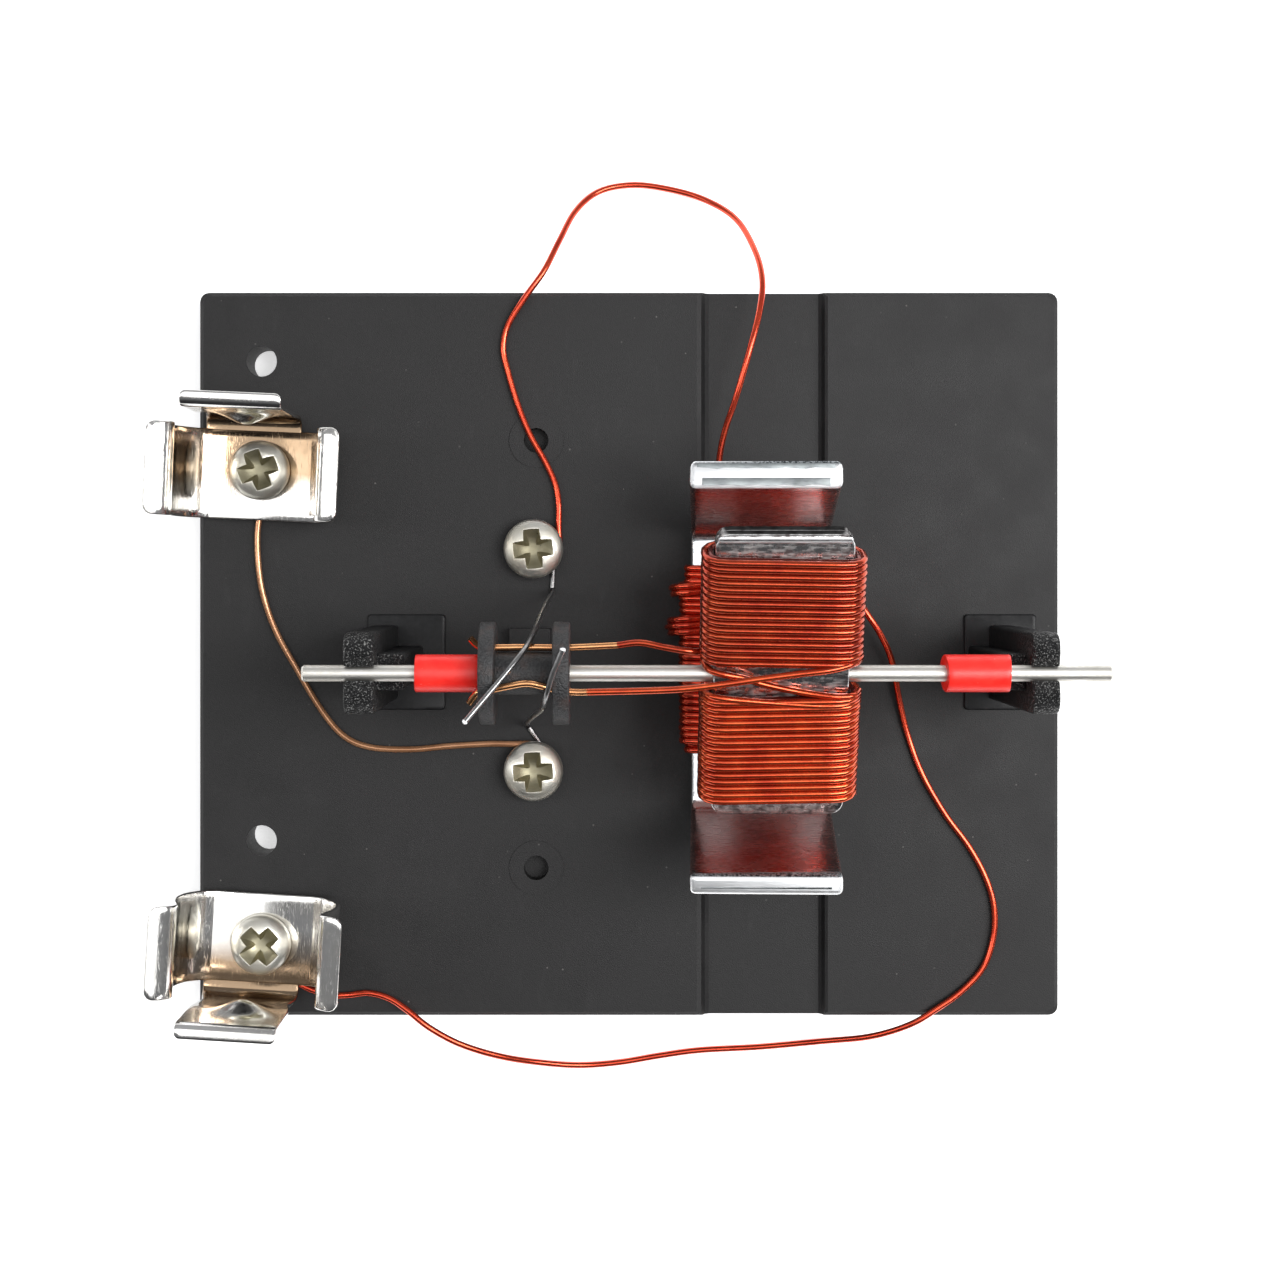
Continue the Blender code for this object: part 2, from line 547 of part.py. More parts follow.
def winding(centre_x, centre_z, half_width, half_height, build, span, corner):
    """The solid of a winding: a ring with round corners round a flat bar along Y."""
    y0, y1 = span
    rings = []
    for grow, y in ((0.0, y0), (build * 0.8, y0), (build, y0 + 0.25 * build),
                    (build, y1 - 0.25 * build), (build * 0.8, y1), (0.0, y1)):
        outline = rounded_rectangle(half_width + grow, half_height + grow, corner + grow, 5)
        rings.append([(centre_x + x, y, centre_z + z) for x, z in outline])
    return loft(rings, closed=True)


def make_rotor(axis):
    armature = add_empty("armature_turn", (0, 0, 0), axis)
    armature.rotation_euler.x = ROTOR_TILT
    make_core_plate("rotor_core_top_plate", 1, armature)
    make_core_plate("rotor_core_bottom_plate", -1, armature)
    half_height = PLATE_THICKNESS + PLATE_GAP / 2 + WINDING_GAP
    half_width = CORE_WIDTH / 2 + WINDING_GAP
    for side, span in ROTOR_COIL_SPANS.items():
        bm = winding(ROTOR_CENTRE_X, 0.0, half_width, half_height, ROTOR_COIL_BUILD, span,
                     0.15 * MM)
        add_mesh(f"rotor_coil_{side}", bm, RED_ENAMEL, armature)
    for side, route in COMMUTATOR_WIRES.items():
        points = smooth_route(route, 0.8)
        add_wire(f"commutator_wire_{side}", points, ROTOR_WIRE_RADIUS, BARE_COPPER, axis)
    for side, route in COIL_LEADS.items():
        points = smooth_route(route, 1.2)
        add_wire(f"coil_lead_{side}", points, ROTOR_WIRE_RADIUS, RED_ENAMEL, axis)


def strip_outline():
    """The field core's side outline, Y against Z: a U with round bends and flared arms."""
    inner = []
    arm_rise = ARM_TOP - BAR_HEIGHT - STRIP_THICKNESS
    steps = 6
    turn = math.pi / 2 - ARM_FLARE
    for side in (-1, 1):
        corner = Vector((HALF_SPAN - BEND_RADIUS, BEND_RADIUS))
        arc = []
        for step in range(steps + 1):
            angle = -math.pi / 2 + step / steps * turn
            arc.append(corner + Vector((math.cos(angle), math.sin(angle))) * BEND_RADIUS)
        reach = (arm_rise - arc[-1].y) / math.cos(ARM_FLARE)
        arc.append(arc[-1] + Vector((math.sin(ARM_FLARE), math.cos(ARM_FLARE))) * reach)
        points = [(side * point.x, point.y) for point in arc]
        inner += points[::-1] if side < 0 else points
    outer = []
    for i, point in enumerate(inner):
        before = Vector(inner[max(i - 1, 0)])
        after = Vector(inner[min(i + 1, len(inner) - 1)])
        along = (after - before).normalized()
        outward = Vector((along.y, -along.x))
        outer.append(tuple(Vector(point) + outward * STRIP_THICKNESS))
    lift = BAR_HEIGHT + STRIP_THICKNESS
    return [(y, z + lift) for y, z in inner + outer[::-1]]


def make_stator():
    seat = add_empty("stator_seat", (STATOR_X, STATOR_Y, BASE_TOP))
    seat.rotation_euler.y = STATOR_LEAN
    half = STRIP_WIDTH / 2
    core = add_mesh("stator_core", prism(strip_outline(), -half, half, "X"), ZINC, seat)
    soften_edges(core, 0.3 * MM)
    middle = BAR_HEIGHT + STRIP_THICKNESS / 2
    hole = cylinder(0, 0, BAR_HEIGHT - MM, BAR_HEIGHT + STRIP_THICKNESS + MM,
                    STATOR_SHANK_RADIUS + 0.18 * MM, 20)
    combine(core, add_cutter("cut_core_hole", hole, seat), "DIFFERENCE")
    bm = winding(0.0, middle, half + WINDING_GAP, STRIP_THICKNESS / 2 + WINDING_GAP,
                 FIELD_COIL_BUILD, FIELD_COIL_SPAN, 0.3 * MM)
    coil = add_mesh("field_coil", bm, RED_ENAMEL, seat)
    hole = cylinder(0, 0, -MM, middle, STATOR_SHANK_RADIUS + 0.35 * MM, 20)
    combine(coil, add_cutter("cut_coil_gap", hole, seat), "DIFFERENCE")
    head_top = 1.8 * MM
    profile = (
        (0.4 * MM, STATOR_HEAD_RADIUS - 0.4 * MM), (0.8 * MM, STATOR_HEAD_RADIUS),
        (head_top, STATOR_HEAD_RADIUS), (head_top, STATOR_SHANK_RADIUS),
        (BASE_TOP + BAR_HEIGHT + STRIP_THICKNESS, STATOR_SHANK_RADIUS),
    )
    screw = add_mesh("stator_screw", turned(profile, "Z", 24), NICKEL)
    screw.location = (STATOR_X, STATOR_Y, 0)
    cut_cross(screw, 0.4 * MM, 1, 0.75)


def cut_cross(screw, face, inward, scale=1.0):
    """Cuts the cross recess into a screw's head."""
    depth = RECESS_DEPTH * scale
    arm, half = RECESS_ARM * scale, RECESS_HALF_WIDTH * scale
    low, high = sorted((face - inward * MM, face + inward * depth))
    for name, a, b in (("along", arm, half), ("across", half, arm)):
        slot = add_cutter(f"cut_{screw.name}_{name}", box((-a, -b, low), (a, b, high)))
        slot.location = screw.location
        combine(screw, slot, "DIFFERENCE")


def make_screw(name, at, seat, turn):
    """A pan-head screw standing in its pilot hole, its head's underside at seat."""
    dome = []
    for step in range(5):
        angle = step / 4 * math.radians(62.0)
        dome.append((HEAD_HEIGHT - 0.95 * MM + 0.95 * MM * math.sin(angle) / math.sin(math.radians(62.0)),
                     HEAD_RADIUS * math.cos(angle)))
    profile = [(SHANK_BOTTOM - seat, 0.5 * SHANK_RADIUS), (SHANK_BOTTOM - seat + MM, SHANK_RADIUS),
               (0.0, SHANK_RADIUS), (0.0, HEAD_RADIUS), *dome]
    screw = add_mesh(name, turned(profile, "Z", 28), NICKEL)
    screw.location = (*at, seat)
    cut_cross(screw, HEAD_HEIGHT, -1)
    for obj in [screw] + [mod.object for mod in screw.modifiers]:
        obj.rotation_euler.z = turn


def thicken(line, thickness):
    """The closed outline of a strip bent along a line of points."""
    sides = {1: [], -1: []}
    for i, point in enumerate(line):
        before, after = line[max(i - 1, 0)], line[min(i + 1, len(line) - 1)]
        along = (after - before).normalized()
        across = Vector((-along.y, along.x)) * thickness / 2
        for side in sides:
            sides[side].append(point + across * side)
    return sides[1] + sides[-1][::-1]


def flat_route(points, spacing):
    """A smooth line through a few (across, up) points."""
    return [point.xy for point in smooth_route([(a, b, 0) for a, b in points], spacing)]


def make_clip(name, clip):
    """A cell clip: a plate, two sprung wings that grip the cell, and a contact tab."""
    foot = add_empty(f"{name}_clip_foot", (*clip["at"], BASE_TOP + CLIP_LIFT))
    foot.rotation_euler.z = clip["turn"]
    side = clip["side"]
    wing = ((4.3, 0.2), (5.5, 0.9), (6.5, 2.3), (6.95, 4.3), (6.85, 6.3), (6.4, 8.0),
            (6.2, 8.9), (6.5, 9.7), (7.3, 10.2), (8.1, 10.45))
    line = flat_route(wing, 0.8)
    line = [Vector((-p.x, p.y)) for p in reversed(line)] + line
    start, end = sorted((-4.4 * MM * side, 3.5 * MM * side))
    strip = prism(thicken(line, CLIP_THICKNESS), start, end, "Y")
    body = add_mesh(f"battery_clip_{name}", strip, NICKEL, foot)

    tab = ((3.3, 0.2), (4.2, 0.22), (4.75, 0.8), (4.8, 2.0), (4.7, 3.6), (4.05, 5.2),
           (3.85, 6.3), (4.05, 7.4), (4.6, 9.0), (4.85, 10.6), (5.05, 11.7), (5.4, 12.4), (5.9, 12.75))
    line = [Vector((p.x * side, p.y)) for p in flat_route(tab, 0.9)]
    outline = thicken(line, CLIP_THICKNESS * 0.98)
    shape = prism(outline, TAB_SHIFT - TAB_HALF_WIDTH, TAB_SHIFT + TAB_HALF_WIDTH, "X")
    combine(body, add_cutter(f"add_tab_{name}", shape, foot), "UNION")
    hole = cylinder(0, 0, -MM, MM, SHANK_RADIUS + 0.2 * MM, 24)
    combine(body, add_cutter(f"cut_clip_hole_{name}", hole, foot), "DIFFERENCE")
    seat = BASE_TOP + CLIP_LIFT + CLIP_THICKNESS + 0.05 * MM
    make_screw(f"clip_screw_{name}", clip["at"], seat, clip["turn"] + 0.5)


def make_brush(side):
    """A brush wire: a clamped eye under its screw, and the springy riser."""
    x, y = (value / MM for value in BRUSH_SCREWS[side])
    hinge = Vector(BRUSH_HINGES[side])
    spin = -1 if side == "rear" else 1
    run = Vector((hinge.x - x, hinge.y - y))
    leave = math.atan2(run.y, run.x) - spin * math.acos(EYE_RADIUS / run.length)
    eye = []
    for step in range(11):
        angle = leave - spin * math.radians(260.0) * (1 - step / 10)
        eye.append((x + EYE_RADIUS * math.cos(angle), y + EYE_RADIUS * math.sin(angle), 5.26))
    before_rise = Vector(eye[-1]).lerp(hinge, 0.85)
    eye.append((before_rise.x, before_rise.y, 5.28))
    eye.append((hinge.x, hinge.y, hinge.z - 0.4))
    add_wire(f"brush_eye_{side}", smooth_route(eye, 0.7), BRUSH_RADIUS, STEEL)
    pivot = add_empty(f"brush_hinge_{side}", hinge * MM)
    points = [point - hinge * MM for point in smooth_route(BRUSH_RISERS[side], 1.0)]
    add_wire(f"brush_wire_{side}", points, BRUSH_RADIUS, STEEL, pivot)


def make_model():
    clear_scene()
    make_base()
    make_post("left", LEFT_POST)
    make_post("right", RIGHT_POST)
    axis = add_empty("rotor_axis", (0, AXIS_Y, AXIS_Z))
    make_shaft(axis)
    for side, span in SLEEVE_SPANS.items():
        make_sleeve(side, span, axis)
    make_spool(axis)
    make_rotor(axis)
    make_stator()
    for name, clip in CLIPS.items():
        make_clip(name, clip)
    for side, at in BRUSH_SCREWS.items():
        make_screw(f"brush_screw_{side}", at, BRUSH_HEAD_SEAT, 0.6 if side == "rear" else 0.3)
        make_brush(side)
    for name, route, finish in (
        ("field_lead_rear", REAR_FIELD_LEAD, RED_ENAMEL),
        ("field_lead_front", FRONT_FIELD_LEAD, RED_ENAMEL),
        ("battery_lead", BATTERY_LEAD, BROWN_ENAMEL),
    ):
        add_wire(name, smooth_route(route, LEAD_SPACING), LEAD_RADIUS, finish)


make_model()
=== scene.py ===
# %% [markdown]
# # A small electric motor kit, open on its base
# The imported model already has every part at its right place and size. This lesson gives each part
# its finish, and rebuilds the parts whose beauty is in fine shape: wound wire, bent strip, screws.
# Everything below is in millimetres until a helper turns it into Blender's metres.

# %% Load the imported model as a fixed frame
import json
import math
import random
import bmesh
import bpy
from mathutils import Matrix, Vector


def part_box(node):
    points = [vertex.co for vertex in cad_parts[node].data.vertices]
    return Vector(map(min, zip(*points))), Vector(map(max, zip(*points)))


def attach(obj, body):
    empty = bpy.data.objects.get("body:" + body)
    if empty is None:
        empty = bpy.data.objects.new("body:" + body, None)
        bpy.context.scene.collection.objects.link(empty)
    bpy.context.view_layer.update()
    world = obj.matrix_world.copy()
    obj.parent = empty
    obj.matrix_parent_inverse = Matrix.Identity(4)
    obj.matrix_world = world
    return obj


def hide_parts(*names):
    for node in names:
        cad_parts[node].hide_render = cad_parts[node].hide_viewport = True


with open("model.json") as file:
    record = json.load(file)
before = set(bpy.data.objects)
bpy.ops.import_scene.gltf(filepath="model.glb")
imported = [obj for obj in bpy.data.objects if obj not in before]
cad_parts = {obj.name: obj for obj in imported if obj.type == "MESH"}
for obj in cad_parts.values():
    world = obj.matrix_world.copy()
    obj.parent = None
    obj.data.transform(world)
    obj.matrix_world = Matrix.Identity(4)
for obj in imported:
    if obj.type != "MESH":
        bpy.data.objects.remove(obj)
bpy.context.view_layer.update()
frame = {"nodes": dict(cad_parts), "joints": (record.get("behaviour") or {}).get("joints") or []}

# %% [markdown]
# ## The driving sizes
# The motor axis comes from the model's own spin joint. The base's top, below the low block that
# stands on it, is given as a number. The rest are the maker's sizes for strip, wire and screws.

# %% Sizes, in millimetres
MM = 0.001
SPIN = next(joint for joint in frame["joints"] if joint["name"] == "rotor_spin")
AXIS = Vector((0.0, SPIN["pos_m"][1] / MM, SPIN["pos_m"][2] / MM))
BASE_TOP = 5.0
ROTOR_TILT = math.radians(23.0)
ROTOR_X = 11.9
CORE_HALF_WIDTH = 5.4
CORE_HALF_LENGTH = 12.3
CORE_HALF_HEIGHT = 1.04
ROTOR_WIRE = 0.28
FIELD_WIRE = 0.28
BRUSH_WIRE = 0.22
STATOR_SEAT = Vector((11.6, -1.2, BASE_TOP))
STATOR_LEAN = math.radians(-2.5)
STRIP_WIDTH = 12.2
STRIP_THICKNESS = 1.7
print("motor axis at", tuple(round(value, 2) for value in AXIS))

# %% [markdown]
# ## The camera comes first
# The camera looks straight down, as over a copy stand.

# %% Camera
scene = bpy.context.scene
CAMERA_HEIGHT = 195.0
LENS = 60.4
camera = bpy.data.objects.new("camera", bpy.data.cameras.new("camera"))
scene.collection.objects.link(camera)
camera.location = Vector((-1.59, 8.32, CAMERA_HEIGHT)) * MM
camera.data.lens = LENS
camera.data.sensor_width = 36.0
camera.data.shift_x = 0.0227
camera.data.shift_y = -0.0625
camera.data.clip_start = 0.005
scene.camera = camera
print("camera", camera.location, "lens", LENS)

# %% [markdown]
# ## Shader maths written as expressions
# A Signal wraps one output socket. Adding or multiplying signals adds Math nodes, so a mask reads
# like a sentence. Every other node comes from Finish.add: its type, its settings, its sockets.

# %% The Signal and Finish classes
class Signal:
    """An output socket that can be used in Python arithmetic."""

    def __init__(self, finish, socket):
        self.finish = finish
        self.socket = socket

    def calc(self, operation, first, second):
        return self.finish.add("ShaderNodeMath", {"operation": operation}, {0: first, 1: second})

    def __add__(self, other):
        return self.calc("ADD", self, other)

    def __sub__(self, other):
        return self.calc("SUBTRACT", self, other)

    def __rsub__(self, other):
        return self.calc("SUBTRACT", other, self)

    def __mul__(self, other):
        return self.calc("MULTIPLY", self, other)

    __radd__ = __add__
    __rmul__ = __mul__


class Finish:
    """One procedural material, named for its finish and for any shade painted into it."""

    def __init__(self, name, roughness, metallic=0.0, **constants):
        self.material = bpy.data.materials.new(name)
        self.material.use_nodes = True
        self.tree = self.material.node_tree
        self.shader = self.tree.nodes["Principled BSDF"]
        self.shader.inputs["Roughness"].default_value = roughness
        self.shader.inputs["Metallic"].default_value = metallic
        for socket, value in constants.items():
            self.shader.inputs[socket.replace("_", " ")].default_value = value
        place = self.add("ShaderNodeTexCoord", output="Object")
        self.place = self.add("ShaderNodeVectorMath", {"operation": "SCALE"},
                              {0: place, "Scale": 1 / MM})

    def add(self, kind, settings=None, inputs=None, output=0):
        """Adds a node: its settings first, then its sockets' values or links."""
        node = self.tree.nodes.new(kind)
        for key, value in (settings or {}).items():
            if key == "stops":
                self.set_stops(node.color_ramp, value)
            else:
                setattr(node, key, value)
        for key, value in (inputs or {}).items():
            self.feed(node.inputs[key], value)
        return Signal(self, node.outputs[output])

    def feed(self, socket, value):
        if isinstance(value, Signal):
            self.tree.links.new(value.socket, socket)
        else:
            socket.default_value = value

    def set_stops(self, ramp, stops):
        while len(ramp.elements) < len(stops):
            ramp.elements.new(0.5)
        for element, (position, colour) in zip(ramp.elements, stops):
            element.position = position
            element.color = (*colour, 1.0)

    def noise(self, per_mm, detail=3.0, stretch=None):
        """Soft noise. per_mm is the number of blobs in a millimetre."""
        where = self.place
        if stretch:
            where = self.add("ShaderNodeVectorMath", {"operation": "MULTIPLY"},
                             {0: where, 1: stretch})
        return self.add("ShaderNodeTexNoise", None,
                        {"Vector": where, "Scale": per_mm, "Detail": detail}, "Fac")

    def axis(self, letter, vector=None):
        """One coordinate of the place in millimetres, or of another vector."""
        return self.add("ShaderNodeSeparateXYZ", None, {0: vector or self.place}, letter)

    def facing(self):
        """How far the surface faces along Y, from -1 to 1, in the piece's own space."""
        return self.axis("Y", self.add("ShaderNodeTexCoord", None, None, "Normal"))

    def plain(self, name):
        """The signal that already feeds one of the shader's sockets."""
        return Signal(self, self.shader.inputs[name].links[0].from_socket)

    def specks(self, per_mm, size):
        """1 inside small round specks scattered through space, and 0 elsewhere."""
        far = self.add("ShaderNodeTexVoronoi", None,
                       {"Vector": self.place, "Scale": per_mm}, "Distance")
        return self.add("ShaderNodeMath", {"operation": "LESS_THAN"}, {0: far, 1: size})

    def between(self, value, low, high):
        """Stretches a value so that low gives 0 and high gives 1."""
        return self.add("ShaderNodeMapRange", None,
                        {"Value": value, "From Min": low, "From Max": high})

    def blend(self, factor, first, second):
        return self.add("ShaderNodeMix", {"data_type": "RGBA"},
                        {0: factor, 6: first, 7: second}, 2)

    def ramp(self, value, *stops):
        return self.add("ShaderNodeValToRGB", {"stops": stops}, {"Fac": value}, "Color")

    def colour(self, value):
        self.feed(self.shader.inputs["Base Color"], value)

    def rough(self, value):
        self.feed(self.shader.inputs["Roughness"], value)

    def bump(self, height, strength, depth):
        """Raises the surface by up to depth millimetres where height is 1."""
        bumped = self.add("ShaderNodeBump", None,
                          {"Height": height, "Strength": strength, "Distance": depth * MM})
        self.feed(self.shader.inputs["Normal"], bumped)


def rgb(red, green, blue):
    return (red, green, blue, 1.0)


print("shader helpers ready")

# %% [markdown]
# ## Black plastics
# The base is moulded in a spark-eroded tool, which leaves a fine matte grain, and handling leaves
# pale dust and faint rubs on it. The posts are coarse and pitted towards the top, where pale specks of
# painted sparkle grow too. The spool is duller, and the sleeves are soft red tubing.

# %% Black plastic finishes
def make_base_plastic():
    finish = Finish("matte_black_moulding", 0.55, Specular_IOR_Level=0.3)
    cloud = finish.between(finish.noise(0.22, 4.0), 0.35, 0.7)
    fine = finish.noise(3.4, 5.0)
    rubs = finish.between(finish.noise(0.9, 5.0, (1.0, 0.35, 1.0)), 0.6, 0.8)
    tone = cloud * 0.45 + fine * 0.45 + rubs * 0.25
    body = finish.ramp(tone, (0.0, (0.008, 0.0076, 0.0078)), (1.0, (0.024, 0.0231, 0.0235)))
    dust = finish.specks(0.6, 0.05) * finish.between(finish.noise(0.3, 2.0), 0.45, 0.6)
    finish.colour(finish.blend(dust * 0.4, body, rgb(0.20, 0.19, 0.18)))
    finish.rough(cloud * 0.12 + 0.48)
    finish.bump(finish.noise(9.0, 4.0), 0.6, 0.04)
    return finish


def make_post_plastic():
    """Coarse black moulding, pitted towards the top of a post, with pale specks of painted sparkle
    there.
    """
    finish = Finish("glossy_black_moulding", 0.3, Specular_IOR_Level=0.2)
    lumps = finish.noise(1.6, 4.0)
    pits = finish.noise(7.0, 4.0)
    height = finish.axis("Z")
    top_pits_and_sparkle = finish.between(height, 16.0, 24.5)
    body = finish.ramp(lumps, (0.3, (0.005, 0.005, 0.0055)), (0.8, (0.018, 0.018, 0.019)))
    # Pale specks towards the top are painted sparkle, a painted highlight.
    painted_sparkle = finish.between(pits, 0.55, 0.7) * (top_pits_and_sparkle * 0.8)
    finish.colour(finish.blend(painted_sparkle, body, rgb(0.36, 0.36, 0.35)))
    finish.rough(lumps * 0.25 + 0.24)
    finish.bump((pits + finish.noise(2.2, 2.0) * 0.8) * top_pits_and_sparkle, 1.0, 0.26)
    return finish


def make_spool_plastic():
    """The spool has been cut and handled, so it is duller than the posts, with a warm copper-brown tint
    in random blotches.
    """
    finish = Finish("dull_black_moulding", 0.45)
    grain = finish.noise(6.0, 5.0)
    warm_blotch = finish.between(finish.noise(0.9, 3.0), 0.52, 0.75)
    body = finish.ramp(grain, (0.3, (0.006, 0.006, 0.0065)), (0.75, (0.048, 0.048, 0.050)))
    finish.colour(finish.blend(warm_blotch * 0.2, body, rgb(0.16, 0.075, 0.05)))
    finish.rough(grain * 0.3 + 0.35)
    finish.bump(grain, 0.9, 0.1)
    return finish


def make_sleeve_plastic():
    finish = Finish("soft_red_tubing", 0.42, Coat_Weight=0.2, Coat_Roughness=0.25)
    mottle = finish.noise(1.1, 3.0)
    body = finish.ramp(mottle, (0.25, (0.92, 0.012, 0.008)), (0.75, (1.0, 0.034, 0.022)))
    lint = finish.specks(1.6, 0.05) * finish.between(finish.noise(1.0, 2.0), 0.5, 0.6)
    finish.colour(finish.blend(lint * 0.6, body, rgb(0.95, 0.55, 0.50)))
    finish.rough(finish.noise(2.2, 4.0, (0.4, 1.0, 1.0)) * 0.3 + 0.26)
    finish.bump(finish.noise(3.0, 4.0, (0.3, 1.0, 1.0)), 0.35, 0.05)
    return finish


base_plastic = make_base_plastic()
post_plastic = make_post_plastic()
spool_plastic = make_spool_plastic()
sleeve_plastic = make_sleeve_plastic()
print("plastics made")

# %% [markdown]
# ## Enamelled and bare wire
# Magnet wire is copper under a clear tinted enamel, so light passes the colour twice and glints
# hard on top. A metallic base with a clear coat does both. The tint drifts along the wire, and
# fine lint and scuffs catch the light as pale specks.

# %% Wire finishes
def make_enamel(name, deep, bright, lint_amount=0.5, metallic=0.88, painted_rear_shade=0.0):
    finish = Finish(name, 0.2, metallic, Coat_Weight=0.3, Coat_Roughness=0.06, Coat_IOR=1.5)
    drift = finish.between(finish.noise(0.5, 3.0), 0.3, 0.7)
    fine = finish.noise(5.0, 3.0)
    body = finish.blend(drift * 0.6 + fine * 0.3, deep, bright)
    # Past the axis towards the rear, the colour darkens: painted shade on the rear coil.
    spot_y = finish.axis("Y")
    body = finish.blend(finish.between(spot_y, AXIS.y, AXIS.y + 0.5) * painted_rear_shade, body,
                        rgb(0.20, 0.012, 0.006))
    lint = finish.specks(1.5, 0.045) * finish.between(finish.noise(1.1, 2.0), 0.52, 0.62)
    finish.colour(finish.blend(lint * lint_amount, body, rgb(0.85, 0.62, 0.50)))
    finish.rough(fine * 0.18 + 0.1)
    finish.bump(finish.noise(4.0, 3.0), 0.18, 0.03)
    return finish


def make_bare_metal(name, dark, light, roughness, grain, stretch=(1.0, 1.0, 1.0)):
    """Metal with a drawn or rolled grain, tarnish that drifts, and roughness that follows."""
    finish = Finish(name, roughness, 1.0)
    streak = finish.noise(grain, 5.0, stretch)
    tarnish = finish.between(finish.noise(0.45, 4.0), 0.35, 0.7)
    finish.colour(finish.blend(streak * 0.45 + tarnish * 0.4, light, dark))
    finish.rough(streak * 0.22 + tarnish * 0.1 + (roughness - 0.16))
    finish.bump(streak, 0.25, 0.02)
    return finish


rotor_enamel = make_enamel("rotor_red_enamel", rgb(0.46, 0.030, 0.012), rgb(0.88, 0.150, 0.040),
                           painted_rear_shade=0.42)
# The under layer is coloured much darker than the outer one: painted shade between the turns.
painted_shade_enamel = make_enamel("red_enamel_painted_shade", rgb(0.10, 0.006, 0.003), rgb(0.20, 0.020, 0.008))
field_enamel = make_enamel("field_red_enamel", rgb(0.58, 0.045, 0.020), rgb(0.86, 0.105, 0.040), 0.2)
brown_enamel = make_enamel("brown_enamel", rgb(0.34, 0.150, 0.070), rgb(0.60, 0.31, 0.16), 0.15,
                           0.6)
copper = make_bare_metal("scraped_copper", rgb(0.56, 0.22, 0.10), rgb(1.0, 0.52, 0.24), 0.22, 2.5)
shaft_steel = make_bare_metal("drawn_steel", rgb(0.52, 0.50, 0.44), rgb(0.92, 0.90, 0.86), 0.46,
                              5.0, (0.6, 2.0, 2.0))
brush_steel = make_bare_metal("spring_wire", rgb(0.07, 0.07, 0.07), rgb(0.50, 0.50, 0.50), 0.32,
                              5.0)
torn_zinc = make_bare_metal("torn_zinc", rgb(0.01, 0.012, 0.014), rgb(0.50, 0.54, 0.55), 0.5, 3.0,
                            (0.5, 2.0, 2.0))
print("wire finishes made")

# %% [markdown]
# ## Plated strip and screws
# Zinc and nickel plating are mirrors with a history: long fine scratches from tumbling, a faint
# haze where fingers have been, and small dark pits. The roughness carries most of that.

# %% Plated finishes
def make_plating(name, light, dark, smooth, haze, pit_size, scratch=(0.2, 3.0, 3.0)):
    finish = Finish(name, smooth, 1.0)
    cloud = finish.between(finish.noise(0.35, 4.0), 0.35, 0.7)
    lines = finish.between(finish.noise(5.0, 2.0, scratch), 0.55, 0.75)
    pits = finish.specks(1.3, pit_size) * finish.between(finish.noise(0.8, 2.0), 0.48, 0.6)
    plate = finish.blend(cloud * 0.7, light, dark)
    finish.colour(finish.blend(pits * 0.8, plate, rgb(0.05, 0.05, 0.05)))
    finish.rough(cloud * haze + lines * 0.16 + smooth)
    finish.bump(lines + finish.noise(0.5, 3.0) * 2.0, 0.12, 0.03)
    return finish


def make_stator_zinc():
    """Bright zinc with rough frosted tips, painted near-white above 23.7 mm as a painted highlight, torn
    dark behind the rear tip, and with a painted red-brown reflection of the coils on the inner faces.
    """
    finish = make_plating("bright_zinc", rgb(0.82, 0.84, 0.86), rgb(0.58, 0.59, 0.61), 0.10, 0.10, 0.07)
    face_y = finish.facing()
    height = finish.axis("Z")
    tip = finish.between(height, 23.7, 24.0)
    torn = tip * finish.between(face_y, 0.42, 0.62)
    outward = (finish.axis("Y") - AXIS.y) * face_y
    inner = finish.between(outward, -2.0, -5.0) * finish.between(height, 23.9, 23.0)
    plate = finish.plain("Base Color")
    smooth_part = finish.plain("Roughness")
    grain = finish.ramp(finish.noise(6.0, 4.0), (0.4, (0.02, 0.025, 0.03)), (0.62, (0.45, 0.48, 0.5)))
    # The inner faces below the tips are tinted red-brown: a painted reflection of the coils.
    painted_coil_reflection = finish.blend(inner * 0.8, plate, rgb(0.52, 0.22, 0.18))
    # Above 23.7 mm the colour turns near-white, a painted highlight; the added roughness there is the
    # frost of the sheared face.
    painted_tip_highlight = finish.blend(tip, painted_coil_reflection, rgb(0.97, 0.98, 0.99))
    finish.colour(finish.blend(torn, painted_tip_highlight, grain))
    finish.rough(tip * 0.34 + smooth_part + inner * 0.1)
    return finish


stator_zinc = make_stator_zinc()


def make_scuffed_zinc():
    """The armature's plates: streaked by tumbling, spotted with flux, and painted black on their ends as
    a painted dark reflection.
    """
    finish = Finish("scuffed_zinc", 0.25, 1.0, Specular_IOR_Level=0.0)
    spots = finish.between(finish.noise(1.6, 5.0), 0.42, 0.6)
    streaks = finish.between(finish.noise(3.0, 4.0, (0.35, 1.5, 1.5)), 0.45, 0.65)
    tone = finish.blend(spots, rgb(0.74, 0.73, 0.73), rgb(0.16, 0.14, 0.14))
    plate = finish.blend(streaks * 0.4, tone, rgb(0.85, 0.84, 0.82))
    face_y = finish.facing()
    # The end faces, turned along Y, are painted black and matte: a painted dark reflection.
    sheared = finish.between(face_y * face_y, 0.62, 0.80)
    finish.colour(finish.blend(sheared * 0.97, plate, rgb(0.006, 0.006, 0.006)))
    finish.feed(finish.shader.inputs["Metallic"], 1.0 - sheared)
    finish.rough(spots * 0.22 + streaks * 0.16 + 0.14 + sheared * 0.6)
    finish.bump(spots + streaks * 0.5, 0.12, 0.02)
    return finish


rotor_zinc = make_scuffed_zinc()


